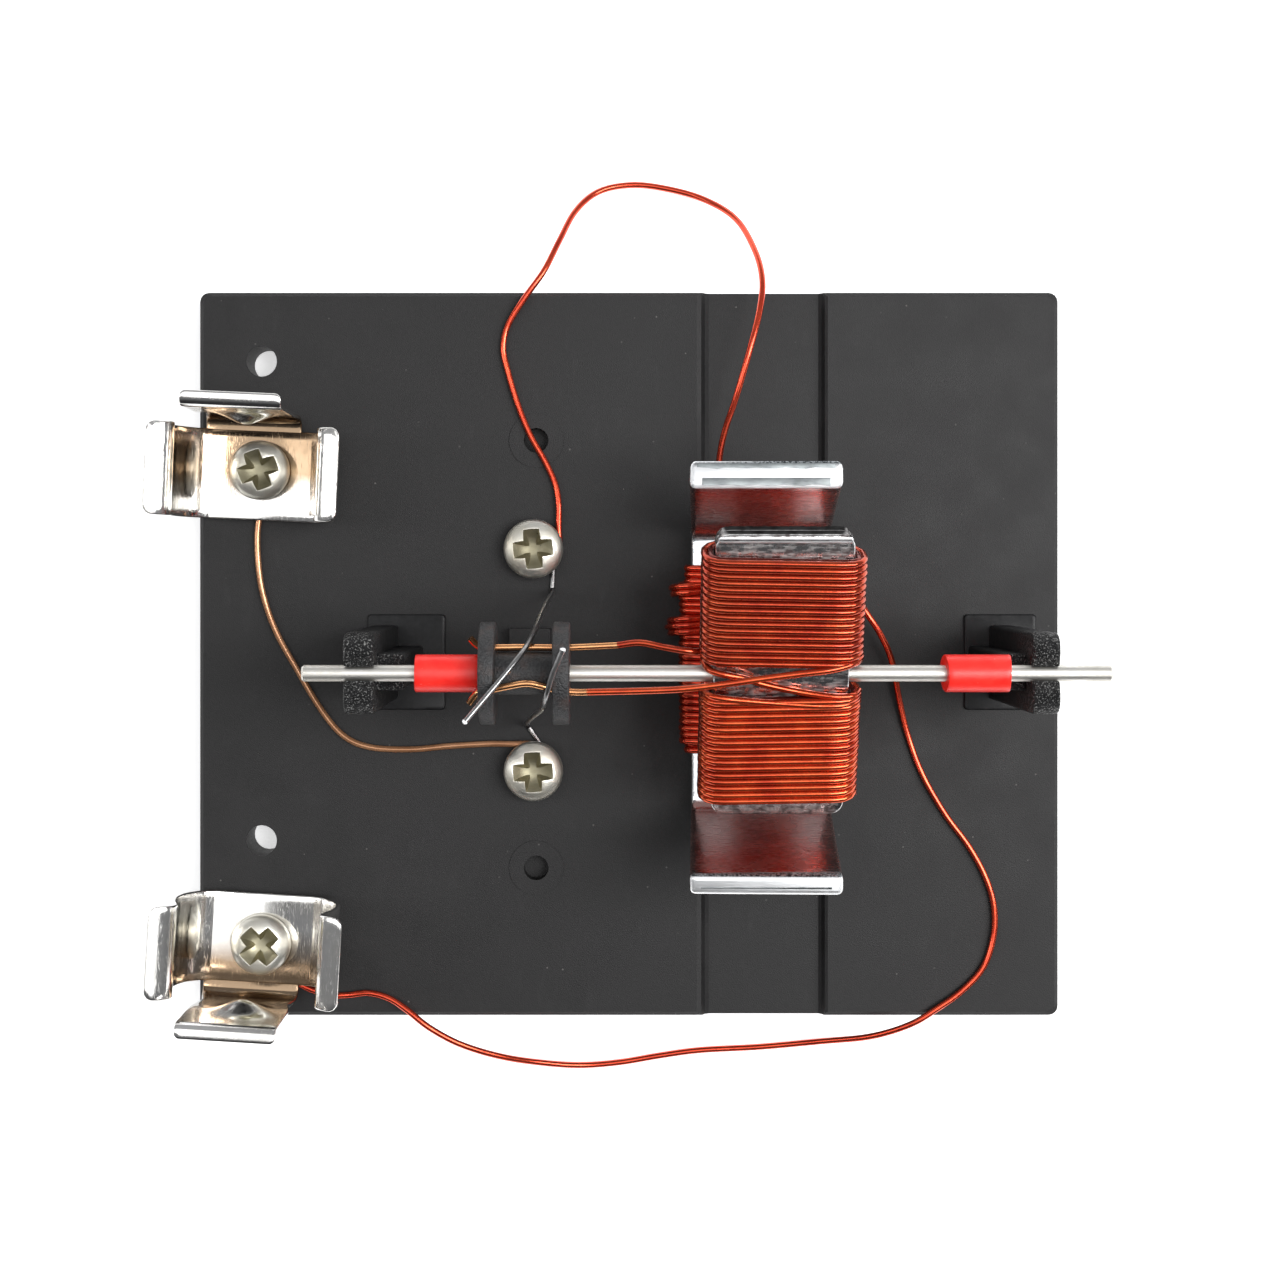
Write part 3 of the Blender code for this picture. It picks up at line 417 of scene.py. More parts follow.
def make_clip_nickel(name, start, end):
    """Bright nickel, with a painted warm brown reflection on the foot, between two distances in Y."""
    finish = make_plating(name, rgb(0.90, 0.89, 0.87), rgb(0.62, 0.60, 0.56), 0.06, 0.12, 0.04,
                          (3.0, 0.3, 3.0))
    spot_y = finish.axis("Y")
    spot_z = finish.axis("Z")
    wave = finish.noise(0.35, 2.0) * 1.5
    # Brown on the foot is a painted warm reflection.
    painted_warm_reflection = finish.between(spot_y + wave, start, end) * finish.between(spot_z, 9.0, 6.2)
    plate = finish.plain("Base Color")
    finish.colour(finish.blend(painted_warm_reflection * 0.95, plate, rgb(0.30, 0.20, 0.115)))
    return finish


clip_nickel = {"rear": make_clip_nickel("nickel_rear", 14.0, 16.6),
               "front": make_clip_nickel("nickel_front", -23.8, -26.4)}
screw_nickel = make_plating("warm_nickel", rgb(0.98, 0.96, 0.88), rgb(0.66, 0.61, 0.48), 0.36, 0.12,
                            0.08)
# The recess walls are coloured darker than the head: painted shade in the cross.
recess_nickel_painted_shade = make_plating("dull_recess_painted_shade", rgb(0.44, 0.41, 0.29), rgb(0.20, 0.18, 0.12), 0.4, 0.2,
                             0.08)
print("plated finishes made")

# %% [markdown]
# ## Shape helpers
# Four tools make nearly every piece: a smooth line through a few points, a round wire along a line,
# a flat strip swept along a line with rounded edges, and a turned profile. Pieces are built
# where they stand, so a texture measured in the object's own space keeps its scale.

# %% Lines and pieces
def smooth(points, step=0.4):
    """Even points on a smooth curve through a few points."""
    route = [Vector(point) for point in points]
    route = [2 * route[0] - route[1], *route, 2 * route[-1] - route[-2]]
    fine = []
    for a, b, c, d in zip(route, route[1:], route[2:], route[3:]):
        for tick in range(24):
            t = tick / 24
            fine.append(0.5 * ((2 * b) + (c - a) * t + (2 * a - 5 * b + 4 * c - d) * t * t
                               + (3 * b - a - 3 * c + d) * t ** 3))
    fine.append(route[-2])
    lengths = [0.0]
    for first, second in zip(fine, fine[1:]):
        lengths.append(lengths[-1] + (second - first).length)
    count = max(2, round(lengths[-1] / step)) + 1
    even = []
    at = 0
    for i in range(count):
        target = lengths[-1] * i / (count - 1)
        while at < len(fine) - 2 and lengths[at + 1] < target:
            at += 1
        share = (target - lengths[at]) / max(lengths[at + 1] - lengths[at], 1e-9)
        even.append(fine[at].lerp(fine[at + 1], share))
    return even


def length_of(points):
    return sum((second - first).length for first, second in zip(points, points[1:]))


def piece(name, data, finish, body, nodes=()):
    """Links mesh or curve data as a piece that rides on a body and may replace CAD nodes."""
    obj = bpy.data.objects.new(name, data)
    scene.collection.objects.link(obj)
    data.materials.append(finish.material)
    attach(obj, body)
    if nodes:
        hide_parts(*nodes)
    return obj


def wire(name, points, radius, finish, body, nodes=(), sides=4):
    """A round wire along points given in millimetres."""
    curve = bpy.data.curves.new(name, "CURVE")
    curve.dimensions = "3D"
    curve.bevel_depth = radius * MM
    curve.bevel_resolution = sides
    curve.use_fill_caps = True
    spline = curve.splines.new("POLY")
    spline.points.add(len(points) - 1)
    for target, point in zip(spline.points, points):
        target.co = (*(Vector(point) * MM), 1.0)
    return piece(name, curve, finish, body, nodes)


def shell(rings, closed=False):
    """A bmesh in metres through rings of points in millimetres."""
    bm = bmesh.new()
    loops = [[bm.verts.new(Vector(point) * MM) for point in ring] for ring in rings]
    pairs = list(zip(loops, loops[1:]))
    if closed:
        pairs.append((loops[-1], loops[0]))
    else:
        bm.faces.new(loops[0])
        bm.faces.new(loops[-1])
    for first, second in pairs:
        for i in range(len(first)):
            j = (i + 1) % len(first)
            bm.faces.new((first[i], first[j], second[j], second[i]))
    bmesh.ops.recalc_face_normals(bm, faces=bm.faces)
    return bm


def mesh_of(name, bm, angle=40.0):
    mesh = bpy.data.meshes.new(name)
    bm.to_mesh(mesh)
    bm.free()
    mesh.shade_smooth()
    mesh.set_sharp_from_angle(angle=math.radians(angle))
    return mesh


def outline(half_a, half_b, radius, corner_steps=4, across=1):
    """A round-cornered rectangle. The sides along the first direction have extra points."""
    points = []
    for quarter in range(4):
        sign_a = 1 if quarter in (0, 3) else -1
        sign_b = 1 if quarter in (0, 1) else -1
        centre = Vector((sign_a * (half_a - radius), sign_b * (half_b - radius)))
        for tick in range(corner_steps + 1):
            angle = (quarter + tick / corner_steps) * math.pi / 2
            points.append(centre + Vector((math.cos(angle), math.sin(angle))) * radius)
        if quarter in (0, 2):
            reach = 2 * (half_a - radius)
            for tick in range(1, across):
                points.append(points[-1] - Vector((sign_a * reach / across, 0.0)))
    return points


def along(line, i):
    """The direction and the left-hand normal of a flat line at one of its points."""
    way = (line[min(i + 1, len(line) - 1)] - line[max(i - 1, 0)]).normalized()
    return way, Vector((-way.y, way.x))


def strip_rings(line, half_width, thickness, edge, place, across=1, shape=None):
    """Rings of a flat strip along a line of (a, b) points, with every edge rounded.

    place(w, a, b) puts a point across the width and on the line's plane into space.
    shape(w, n, travelled) may return a new (w, n) for a point of the section.
    """
    steps = 3
    last = len(line) - 1
    turns = [tick / steps * math.pi / 2 for tick in range(steps)]
    order = [(0, edge * (1 - math.sin(turn)), edge * (1 - math.cos(turn))) for turn in turns]
    order += [(i, 0.0, 0.0) for i in range(1, last)]
    order += [(last, edge * (1 - math.sin(turn)), edge * (math.cos(turn) - 1))
              for turn in reversed(turns)]
    travelled = [0.0]
    for before, after in zip(line, line[1:]):
        travelled.append(travelled[-1] + (after - before).length)
    rings = []
    for i, inset, advance in order:
        way, normal = along(line, i)
        reach = travelled[i] + advance
        ring = []
        radius = max(edge - inset, 0.02)
        for w, n in outline(half_width - inset, thickness / 2 - inset, radius, 3, across):
            if shape:
                w, n = shape(w, n, reach)
            spot = line[i] + way * advance + normal * n
            ring.append(place(w, spot.x, spot.y))
        rings.append(ring)
    return rings


def round_corners(half_width, corner, total):
    """A strip shape whose end corners are round when seen flat on."""
    def shape(w, n, reach):
        near = corner - min(reach, total - reach)
        if near <= 0:
            return w, n
        kept = half_width - corner + math.sqrt(max(corner ** 2 - near ** 2, 0.0))
        return w * kept / half_width, n
    return shape


def turned(profile, centre, steps=56, lengthways=False):
    """Rings of a profile of (along, radius) pairs, turned about Z or, lengthways, about X."""
    rings = []
    for place, radius in profile:
        ring = []
        for tick in range(steps):
            angle = 2 * math.pi * tick / steps
            a, b = radius * math.cos(angle), radius * math.sin(angle)
            spot = Vector((place, a, b)) if lengthways else Vector((a, b, place))
            ring.append(spot + Vector(centre))
        rings.append(ring)
    return rings


print("shape helpers ready")

# %% [markdown]
# ## Plain nodes take their finish
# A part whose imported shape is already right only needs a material. Giving it one is a matter of
# filling its material slots.

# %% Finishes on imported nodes
def coat(node, finish):
    mesh = frame["nodes"][node].data
    mesh.materials.clear()
    mesh.materials.append(finish.material)


coat("base_plate", base_plastic)
coat("shaft", shaft_steel)
coat("stator_screw", screw_nickel)
print("packed nodes finished")

# %% [markdown]
# ## The field core
# A strip of plated steel is bent into a U, and its arms lean outward a little. Sweeping a
# rounded section along the bent line keeps the tumbled edges that catch the light.

# %% Field core
def on_stator(x, y, z):
    """A point in the field core's own frame, which leans a little about Y."""
    spot = Vector((x * math.cos(STATOR_LEAN) + z * math.sin(STATOR_LEAN), y,
                   z * math.cos(STATOR_LEAN) - x * math.sin(STATOR_LEAN)))
    return spot + STATOR_SEAT


BAR_MIDDLE = 1.6 + STRIP_THICKNESS / 2
ARM_TOP = 19.4
FLARE = math.radians(12.0)
BEND = 2.05
HALF_SPAN = 12.3 + STRIP_THICKNESS / 2
STRUCK_LENGTH = 1.3
STRUCK_SPREAD = 0.42


def core_line():
    """The middle line of the U, from the front arm's tip to the rear arm's tip."""
    half = []
    for tick in range(9):
        angle = -math.pi / 2 + tick / 8 * (math.pi / 2 - FLARE)
        half.append(Vector((HALF_SPAN - BEND + BEND * math.cos(angle),
                            BAR_MIDDLE + BEND + BEND * math.sin(angle))))
    rise = (ARM_TOP - half[-1].y) / math.cos(FLARE)
    way = Vector((math.sin(FLARE), math.cos(FLARE)))
    shares = [tick / 12 for tick in range(1, 12)] + [0.94, 0.97, 1.0]
    half += [half[-1] + way * rise * share for share in shares]
    front = [Vector((-point.x, point.y)) for point in reversed(half)]
    return front + half


def spread_tip(w, n, reach):
    """The rear tip was struck when it was sheared, so its last millimetre is a little thicker."""
    near = max(0.0, 1.0 - (core_length - reach) / STRUCK_LENGTH)
    return w, n * (1 + STRUCK_SPREAD * near * near * (3 - 2 * near))


core = core_line()
core_length = length_of(core)
rings = strip_rings(core, STRIP_WIDTH / 2, STRIP_THICKNESS, 0.45, on_stator, 1, spread_tip)
piece("field_core", mesh_of("field_core", shell(rings)), stator_zinc, "base", ["stator_core"])


def make_torn_band(name, side, inward, half_thick, half_long):
    """The torn part of a sheared end, a rough band just proud of the bright face."""
    tip = core[-1] if side > 0 else core[0]
    way = Vector((side * math.sin(FLARE), math.cos(FLARE)))
    inner = Vector((-side * math.cos(FLARE), math.sin(FLARE)))
    rings = []
    for grow, lift in ((0.0, -0.06), (0.0, 0.008), (-0.04, 0.02)):
        ring = []
        for a, b in outline(half_long + grow, half_thick + grow, 0.04, 2, 14):
            wander = 0.05 * math.sin(a * 2.7) + 0.03 * math.sin(a * 6.1 + 1.0)
            spot = tip + inner * (inward + b + wander * (b > 0)) + way * lift
            ring.append(on_stator(a, spot.x, spot.y))
        rings.append(ring)
    band = piece(name, mesh_of(name, shell(rings)), torn_zinc, "base")


make_torn_band("torn_band_rear", 1, 0.62, 0.30, 5.1)
make_torn_band("torn_edge_rear", 1, -0.68, 0.2, 5.5)
make_torn_band("torn_band_front", -1, -0.2, 0.06, 5.2)
print("field core swept from", len(rings), "sections")

# %% [markdown]
# ## Windings
# Each winding is one long wire. A helix round a round-cornered rectangle gives the flat
# tops and soft ends of a hand-wound coil, and a little seeded unevenness keeps the turns from looking
# machined. The layer beneath is wound too, because it shows between the turns and at the ends.

# %% The winding helper
def wound_path(half_a, half_b, corner, start, pitch, turns, uneven, seed, first=0.0, per_turn=40):
    """Points (a, travel, b) of a wire wound round a round-cornered rectangle."""
    rng = random.Random(seed)
    loop = outline(half_a, half_b, corner, 6, 1)
    sides = []
    total = 0.0
    closed = loop + [loop[0]]
    for one, two in zip(closed, closed[1:]):
        total += (two - one).length
        sides.append(total)
    points = []
    swell = [rng.uniform(-uneven, uneven) for _ in range(int(turns) + 2)]
    drift = [rng.uniform(-uneven, uneven) for _ in range(int(turns) + 2)]
    count = int(turns * per_turn)
    for tick in range(count + 1):
        turn = first + tick / per_turn
        target = (turn % 1.0) * total
        side = next(i for i, reach in enumerate(sides) if reach >= target - 1e-9)
        begin = sides[side - 1] if side else 0.0
        share = (target - begin) / max(sides[side] - begin, 1e-9)
        spot = closed[side].lerp(closed[side + 1], share)
        whole = int(turn - first)
        part = turn - first - whole
        lift = swell[whole] * (1 - part) + swell[whole + 1] * part
        slip = drift[whole] * (1 - part) + drift[whole + 1] * part
        grown = spot * (1 + lift / max(half_b, half_a) * 1.2)
        points.append((grown.x, start + (turn - first) * pitch + slip, grown.y))
    return points


def on_armature(x, v, w):
    """A point in the armature's own frame, which is turned about the motor axis."""
    c, s = math.cos(ROTOR_TILT), math.sin(ROTOR_TILT)
    return Vector((ROTOR_X + x, v * c - w * s, v * s + w * c)) + AXIS


print("winding helper ready")

# %% Armature coils
LAYER_RISE = 0.485
INNER_A = CORE_HALF_WIDTH + 0.05 + ROTOR_WIRE
INNER_B = CORE_HALF_HEIGHT + 0.05 + ROTOR_WIRE
TURNS = 16
UNDERSIDE = 0.737
for side, begin, pitch in (("rear", 1.38, 0.571), ("front", -1.38, -0.59)):
    inner = wound_path(INNER_A, INNER_B, 0.75, begin, pitch, TURNS, 0.012, 5, UNDERSIDE)
    outer = wound_path(INNER_A + LAYER_RISE, INNER_B + LAYER_RISE, 1.5, begin, pitch, TURNS, 0.03,
                       11 if side == "rear" else 12, UNDERSIDE)
    # The under layer takes the darker enamel, as painted shade.
    lower = wire(f"rotor_winding_{side}_under", [on_armature(*p) for p in inner], ROTOR_WIRE,
                 painted_shade_enamel, "rotor", sides=3)
    wire(f"rotor_winding_{side}", [on_armature(*p) for p in outer], ROTOR_WIRE, rotor_enamel,
         "rotor", [f"rotor_coil_{side}"])
print("armature wound with", TURNS, "turns a layer on each half")

# %% Field coil
FIELD_PITCH = 0.565
FIELD_A = STRIP_WIDTH / 2 + 0.06 + FIELD_WIRE
FIELD_B = STRIP_THICKNESS / 2 + 0.06 + FIELD_WIRE


def on_bar(points):
    return [on_stator(x, y, z + BAR_MIDDLE) for x, y, z in points]


FIELD_RISE = 0.45
under = wound_path(FIELD_A, FIELD_B, 0.5, -7.4, FIELD_PITCH, 29.0, 0.01, 21, first=0.75)
over = wound_path(FIELD_A + FIELD_RISE, FIELD_B + FIELD_RISE, 0.9, -6.6, FIELD_PITCH, 25.0, 0.05, 22,
                  first=0.75)
lower = wire("field_winding_under", on_bar(under), FIELD_WIRE, field_enamel, "base", sides=3)
wire("field_winding", on_bar(over), FIELD_WIRE, field_enamel, "base", ["field_coil"], sides=3)
LOOSE_TURNS = ((3.2, 0.55), (3.75, 0.8), (4.3, 0.6), (6.6, 0.3), (7.15, 0.45))
LOOSE_RISE = 0.45
SLANT = 0.2
for number, (y, reach) in enumerate(LOOSE_TURNS):
    side = FIELD_A + FIELD_RISE + LOOSE_RISE
    top = FIELD_B + FIELD_RISE
    arc = ((-side + 2.2, y + SLANT, top + 0.1), (-side + 0.6, y + SLANT * 0.4, top + 0.25),
           (-side - reach * 0.6, y, top * 0.6), (-side - reach, y - 0.1, -0.2),
           (-side - reach * 0.5, y - SLANT * 0.3, -top * 0.8))
    turn = wire(f"field_loose_turn_{number}", on_bar(smooth(arc, 0.25)), FIELD_WIRE, field_enamel,
                "base")
print("field coil wound in two layers, with", len(LOOSE_TURNS), "loose turns")

# %% [markdown]
# ## The armature's plates
# Two pressed plates lie face to face round the shaft. Their ends are painted black, a painted dark
# reflection, and a raised rim that the shears left shines along the rear end of the top one, painted
# near-white as a painted highlight.

# %% Armature plates
PLATE_RIM = 0.24


def make_plate(name, up):
    rings = []
    faces = [(0.03, 0.02), (0.0, 0.05)]
    for tick in range(6):
        turn = tick / 5 * math.pi / 2
        faces.append((PLATE_RIM * (1 - math.cos(turn)),
                      CORE_HALF_HEIGHT - PLATE_RIM * (1 - math.sin(turn))))
    for inset, height in faces:
        ring = [on_armature(a, b, up * height)
                for a, b in outline(CORE_HALF_WIDTH - inset, CORE_HALF_LENGTH - inset,
                                    1.1 - inset, 6)]
        rings.append(ring)
    piece(name, mesh_of(name, shell(rings)), rotor_zinc, "rotor", [f"rotor_core_{name}"])


def make_rolled_rim():
    """The raised rim that shearing left along the rear end of the top plate, painted near-white by the
    zinc finish as a painted highlight.
    """
    middle = CORE_HALF_LENGTH - 0.42
    half_wide = 0.24
    rings = [[on_armature(a, middle + b, CORE_HALF_HEIGHT + lift)
              for a, b in outline(CORE_HALF_WIDTH - 0.2 - inset, half_wide - inset, 0.2, 5)]
             for inset, lift in ((0.0, -0.12), (0.0, 0.0), (0.03, 0.025), (0.09, 0.03))]
    rim = piece("rolled_rim", mesh_of("rolled_rim", shell(rings)), stator_zinc, "rotor")


make_plate("top_plate", 1)
make_plate("bottom_plate", -1)
make_rolled_rim()
print("plates pressed")

# %% [markdown]
# ## Spool, sleeves and posts
# The spool and the sleeves are turned shapes. The sleeves were snipped by hand, so their ends are
# a little slanted. Each post is a fork with thick round lobes, and its moulded top is pitted.

# %% Spool and sleeves
FLANGE = 4.1
BARREL = 1.7
SHAFT_FIT = 0.68


def make_spool():
    edge = 0.16
    profile = [(-12.0, SHAFT_FIT)]
    for x0, x1 in ((-12.0, -10.75), (-6.2, -4.85)):
        for x, way in ((x0, 1), (x1, -1)):
            arc = [(x + way * edge * (1 - math.sin(t * math.pi / 6)),
                    FLANGE - edge * (1 - math.cos(t * math.pi / 6))) for t in range(4)]
            profile += arc[::-1] if way > 0 else arc
        if x1 < -8:
            profile += [(x1, BARREL), (-6.2, BARREL)]
    profile += [(-4.85, SHAFT_FIT)]
    spool = shell(turned(profile, (0, AXIS.y, AXIS.z), 96, True), True)
    piece("spool", mesh_of("spool", spool), spool_plastic, "rotor", ["commutator_spool"])


def make_sleeve(side, x0, x1, slant0, slant1, phase):
    outer, edge = 1.5, 0.14
    profile = ((x0, SHAFT_FIT), (x0, outer - edge), (x0 + edge * 0.3, outer - edge * 0.3),
               (x0 + edge, outer), (x1 - edge, outer), (x1 - edge * 0.3, outer - edge * 0.3),
               (x1, outer - edge), (x1, SHAFT_FIT))
    steps = 16
    rings = turned(profile, (0, AXIS.y, AXIS.z), 64, True)
    for ring in rings:
        share = (ring[0].x - x0) / (x1 - x0)
        slant = slant0 * (1 - share) + slant1 * share
        for spot in ring:
            angle = math.atan2(spot.z - AXIS.z, spot.y - AXIS.y)
            spot.x += slant * math.sin(angle + phase) * 0.5
    fine = []
    for ring, after in zip(rings, rings[1:]):
        fine.append(ring)
        if (after[0] - ring[0]).length > 1.0:
            for tick in range(1, steps):
                fine.append([a.lerp(b, tick / steps) for a, b in zip(ring, after)])
    fine.append(rings[-1])
    name = f"sleeve_{side}"
    piece(f"{name}_tube", mesh_of(name, shell(fine, True)), sleeve_plastic, "rotor", [name])
    print(name, "from", x0, "to", x1)


make_spool()
make_sleeve("left", -17.2, -12.15, 0.10, 0.22, 0.3)
make_sleeve("right", 24.95, 30.2, -0.30, 0.26, 2.9)

# %% Bearing posts
POST_HALF = 3.25
POST_TOP = BASE_TOP + 20.3
SEAT = 0.75
MOUTH = 0.56
MOUTH_FLARE = 1.35
LOBE = 1.25
FOOT_HALF = 4.05
FOOT_TOP = BASE_TOP + 0.35
FOOT_BOTTOM = BASE_TOP - 3.7
FOOT_SNUG = 0.17
RIB_HALF = 1.45
RIB_TOP = AXIS.z - 1.62


def fork_outline(inset):
    """The fork across the shaft, as (y, z) from the motor axis, drawn in by inset."""
    rise = POST_TOP - AXIS.z
    right = [(POST_HALF - inset, BASE_TOP - AXIS.z - 0.3), (POST_HALF - inset, -6.0),
             (POST_HALF - inset, rise - LOBE)]
    for tick in range(1, 8):
        angle = tick / 7 * math.pi / 2
        right.append((POST_HALF - LOBE + (LOBE - inset) * math.cos(angle),
                      rise - LOBE + (LOBE - inset) * math.sin(angle)))
    right.append((MOUTH_FLARE + inset, rise - inset))
    right.append((MOUTH_FLARE * 0.8 + inset, rise - 0.22 - inset * 0.5))
    right.append((MOUTH + inset * 0.6, 0.75))
    opening = math.acos(MOUTH / SEAT)
    seat = []
    for tick in range(19):
        angle = opening - tick / 18 * (math.pi + 2 * opening)
        seat.append(((SEAT + inset * 0.5) * math.cos(angle), (SEAT + inset * 0.5) * math.sin(angle)))
    left = [(-y, z) for y, z in reversed(right)]
    return right + seat + left


def box_rings(low, high, edge):
    """Rings of an upright box with rounded edges at its top."""
    middle = [(a + b) / 2 for a, b in zip(low, high)]
    half = [(b - a) / 2 for a, b in zip(low, high)]
    rings = []
    for inset, z in ((0.0, low[2]), (0.0, high[2] - edge), (edge * 0.3, high[2] - edge * 0.3),
                     (edge, high[2])):
        rings.append([Vector((middle[0] + a, middle[1] + b, z))
                      for a, b in outline(half[0] - inset, half[1] - inset, 0.3, 3)])
    return rings


def make_post(side, plate, rib, foot):
    edge = 0.28
    x0, x1 = plate
    rings = []
    for tick in range(4):
        turn = tick / 3 * math.pi / 2
        rings.append((x0 + edge * (1 - math.sin(turn)), edge * (1 - math.cos(turn))))
    rings += [(x0 + x1 - x, inset) for x, inset in reversed(rings)]
    rings = sorted(rings)
    shapes = [[Vector((x, y + AXIS.y, z + AXIS.z)) for y, z in fork_outline(inset)]
              for x, inset in rings]
    name = f"bearing_post_{side}"
    post = mesh_of(name, shell(shapes), 50.0)
    piece(f"{name}_fork", post, post_plastic, "base", [name])
    reach = FOOT_HALF + FOOT_SNUG
    parts = {"rib": ((rib[0], AXIS.y - RIB_HALF, BASE_TOP + 0.1), (rib[1], AXIS.y + RIB_HALF, RIB_TOP)),
             "foot": ((foot[0] - FOOT_SNUG, AXIS.y - reach, FOOT_BOTTOM),
                      (foot[1] + FOOT_SNUG, AXIS.y + reach, FOOT_TOP))}
    for part, (low, high) in parts.items():
        block = mesh_of(part, shell(box_rings(low, high, 0.1)), 50.0)
        piece(f"{name}_{part}", block, post_plastic, "base")


make_post("left", (-22.8, -20.4), (-20.6, -18.2), (-22.9, -16.4))
make_post("right", (31.8, 34.0), (30.0, 32.0), (29.8, 35.8))
print("two posts moulded")

# %% [markdown]
# ## Leads on the armature
# The coil's ends run along the shaft to the spool. Their enamel is scraped off near the
# spool, so the same wire turns from red to bare copper, and the bare ends lie along the barrel as
# the commutator's two contacts.

# %% Commutator wires and coil leads
def by_axis(points, step=0.25):
    return [Vector((x, y, z)) + AXIS for x, y, z in smooth(points, step)]


COMMUTATOR_REAR = ((-12.75, 2.8, 0.6), (-12.4, 2.4, 0.42), (-12.0, 2.12, 0.3), (-11.4, 2.06, 0.25),
                   (-8.5, 2.08, 0.2), (-5.5, 2.06, 0.25), (-3.6, 2.12, 0.3), (-1.0, 2.25, 0.4))
COMMUTATOR_FRONT = ((-12.8, -2.3, 0.9), (-12.4, -1.75, 1.25), (-12.0, -1.4, 1.55),
                    (-11.4, -1.3, 1.63), (-9.8, -0.95, 1.85), (-8.2, -0.7, 1.98),
                    (-6.9, -0.95, 1.88), (-5.5, -1.3, 1.63), (-4.2, -1.42, 1.55),
                    (-3.4, -1.4, 1.6))
LEAD_REAR = ((-1.1, 2.25, 0.4), (0.7, 2.45, 0.5), (2.6, 2.1, 0.55), (4.1, 1.85, 0.7),
             (5.1, 1.75, 0.5), (5.75, 1.75, -0.2))
LEAD_FRONT = ((-3.5, -1.4, 1.6), (0.7, -1.3, 1.75), (4.0, -1.15, 1.95), (7.0, -0.8, 2.2),
              (10.0, -0.35, 2.4), (13.0, 0.05, 2.5), (15.5, 0.35, 2.5), (17.2, 0.75, 2.2),
              (18.1, 1.3, 1.3), (18.2, 1.7, 0.2))
wire("bare_end_rear", by_axis(COMMUTATOR_REAR), ROTOR_WIRE, copper, "rotor",
     ["commutator_wire_rear"])
wire("bare_end_front", by_axis(COMMUTATOR_FRONT), ROTOR_WIRE, copper, "rotor",
     ["commutator_wire_front"])
wire("coil_end_rear", by_axis(LEAD_REAR), ROTOR_WIRE, rotor_enamel, "rotor", ["coil_lead_rear"])
wire("coil_end_front", by_axis(LEAD_FRONT), ROTOR_WIRE, rotor_enamel, "rotor",
     ["coil_lead_front"])
print("leads laid")

# %% [markdown]
# The jumper carries the current from one half of the armature to the other. It slips under the
# front lead, crosses the middle of the core and turns down the far side of the front coil.

# %% The jumper between the two coils
JUMPER = ((-6.2, 1.2, 0.3), (-5.7, 0.95, 1.35), (-4.6, 0.75, 1.75), (-3.0, 0.3, 1.55),
          (-1.5, -0.25, 1.42), (0.5, -0.75, 1.42), (2.5, -1.1, 1.5), (4.4, -1.3, 1.6),
          (5.7, -1.35, 1.3), (6.25, -1.4, 0.2))
LOOSE_TURN = ((-6.1, -1.35, -0.6), (-6.1, -1.3, 0.7), (-5.3, -1.2, 1.85), (-3.2, -1.45, 1.95),
              (0.0, -1.75, 1.9), (3.0, -1.95, 1.9), (5.0, -1.95, 1.75), (6.1, -1.9, 0.8),
              (6.2, -1.9, -0.4))
for name, route in (("coil_jumper", JUMPER), ("loose_first_turn", LOOSE_TURN)):
    points = [on_armature(x, v, w) for x, v, w in smooth(route, 0.25)]
    wire(name, points, ROTOR_WIRE, rotor_enamel, "rotor")
print("jumper laid")

# %% [markdown]
# ## Screws
# A pan head is turned, then crossed by a tapered recess. The cut is a Boolean because its walls
# must be flat and crisp, and a tiny bevel afterwards gives the edges their glint. The walls of the
# recess are left duller than the head, and coloured darker as painted shade.

# %% Screws
HEAD_RADIUS = 2.6
HEAD_HEIGHT = 1.9
HEAD_RIM = 0.75


def settled(obj):
    """Replaces an object's mesh with what its modifiers make, and clears them."""
    bpy.context.view_layer.update()
    graph = bpy.context.evaluated_depsgraph_get()
    mesh = bpy.data.meshes.new_from_object(obj.evaluated_get(graph))
    obj.modifiers.clear()
    return mesh


def cross_cutter(top):
    """A plus-shaped recess that narrows downward."""
    rings = []
    for depth, arm, half in ((0.5, 2.1, 0.92), (-0.2, 1.85, 0.74), (-0.8, 1.3, 0.5),
                             (-1.25, 0.6, 0.3)):
        corners = []
        for quarter in range(4):
            turn = quarter * math.pi / 2
            for a, b in ((arm, -half), (arm, half), (half, half)):
                corners.append((a * math.cos(turn) - b * math.sin(turn),
                                a * math.sin(turn) + b * math.cos(turn), top + depth))
        rings.append(corners)
    return shell(rings)


def in_recess(spot):
    """1 for a face that lies well below the dome, inside the cross, and 0 for any other."""
    out = min(math.hypot(spot.x, spot.y), HEAD_RADIUS)
    dome = HEAD_RIM + (HEAD_HEIGHT - HEAD_RIM) * math.sqrt(1 - (out / HEAD_RADIUS) ** 2)
    return int(0.2 < spot.z < dome - 0.1 and out < 2.2)


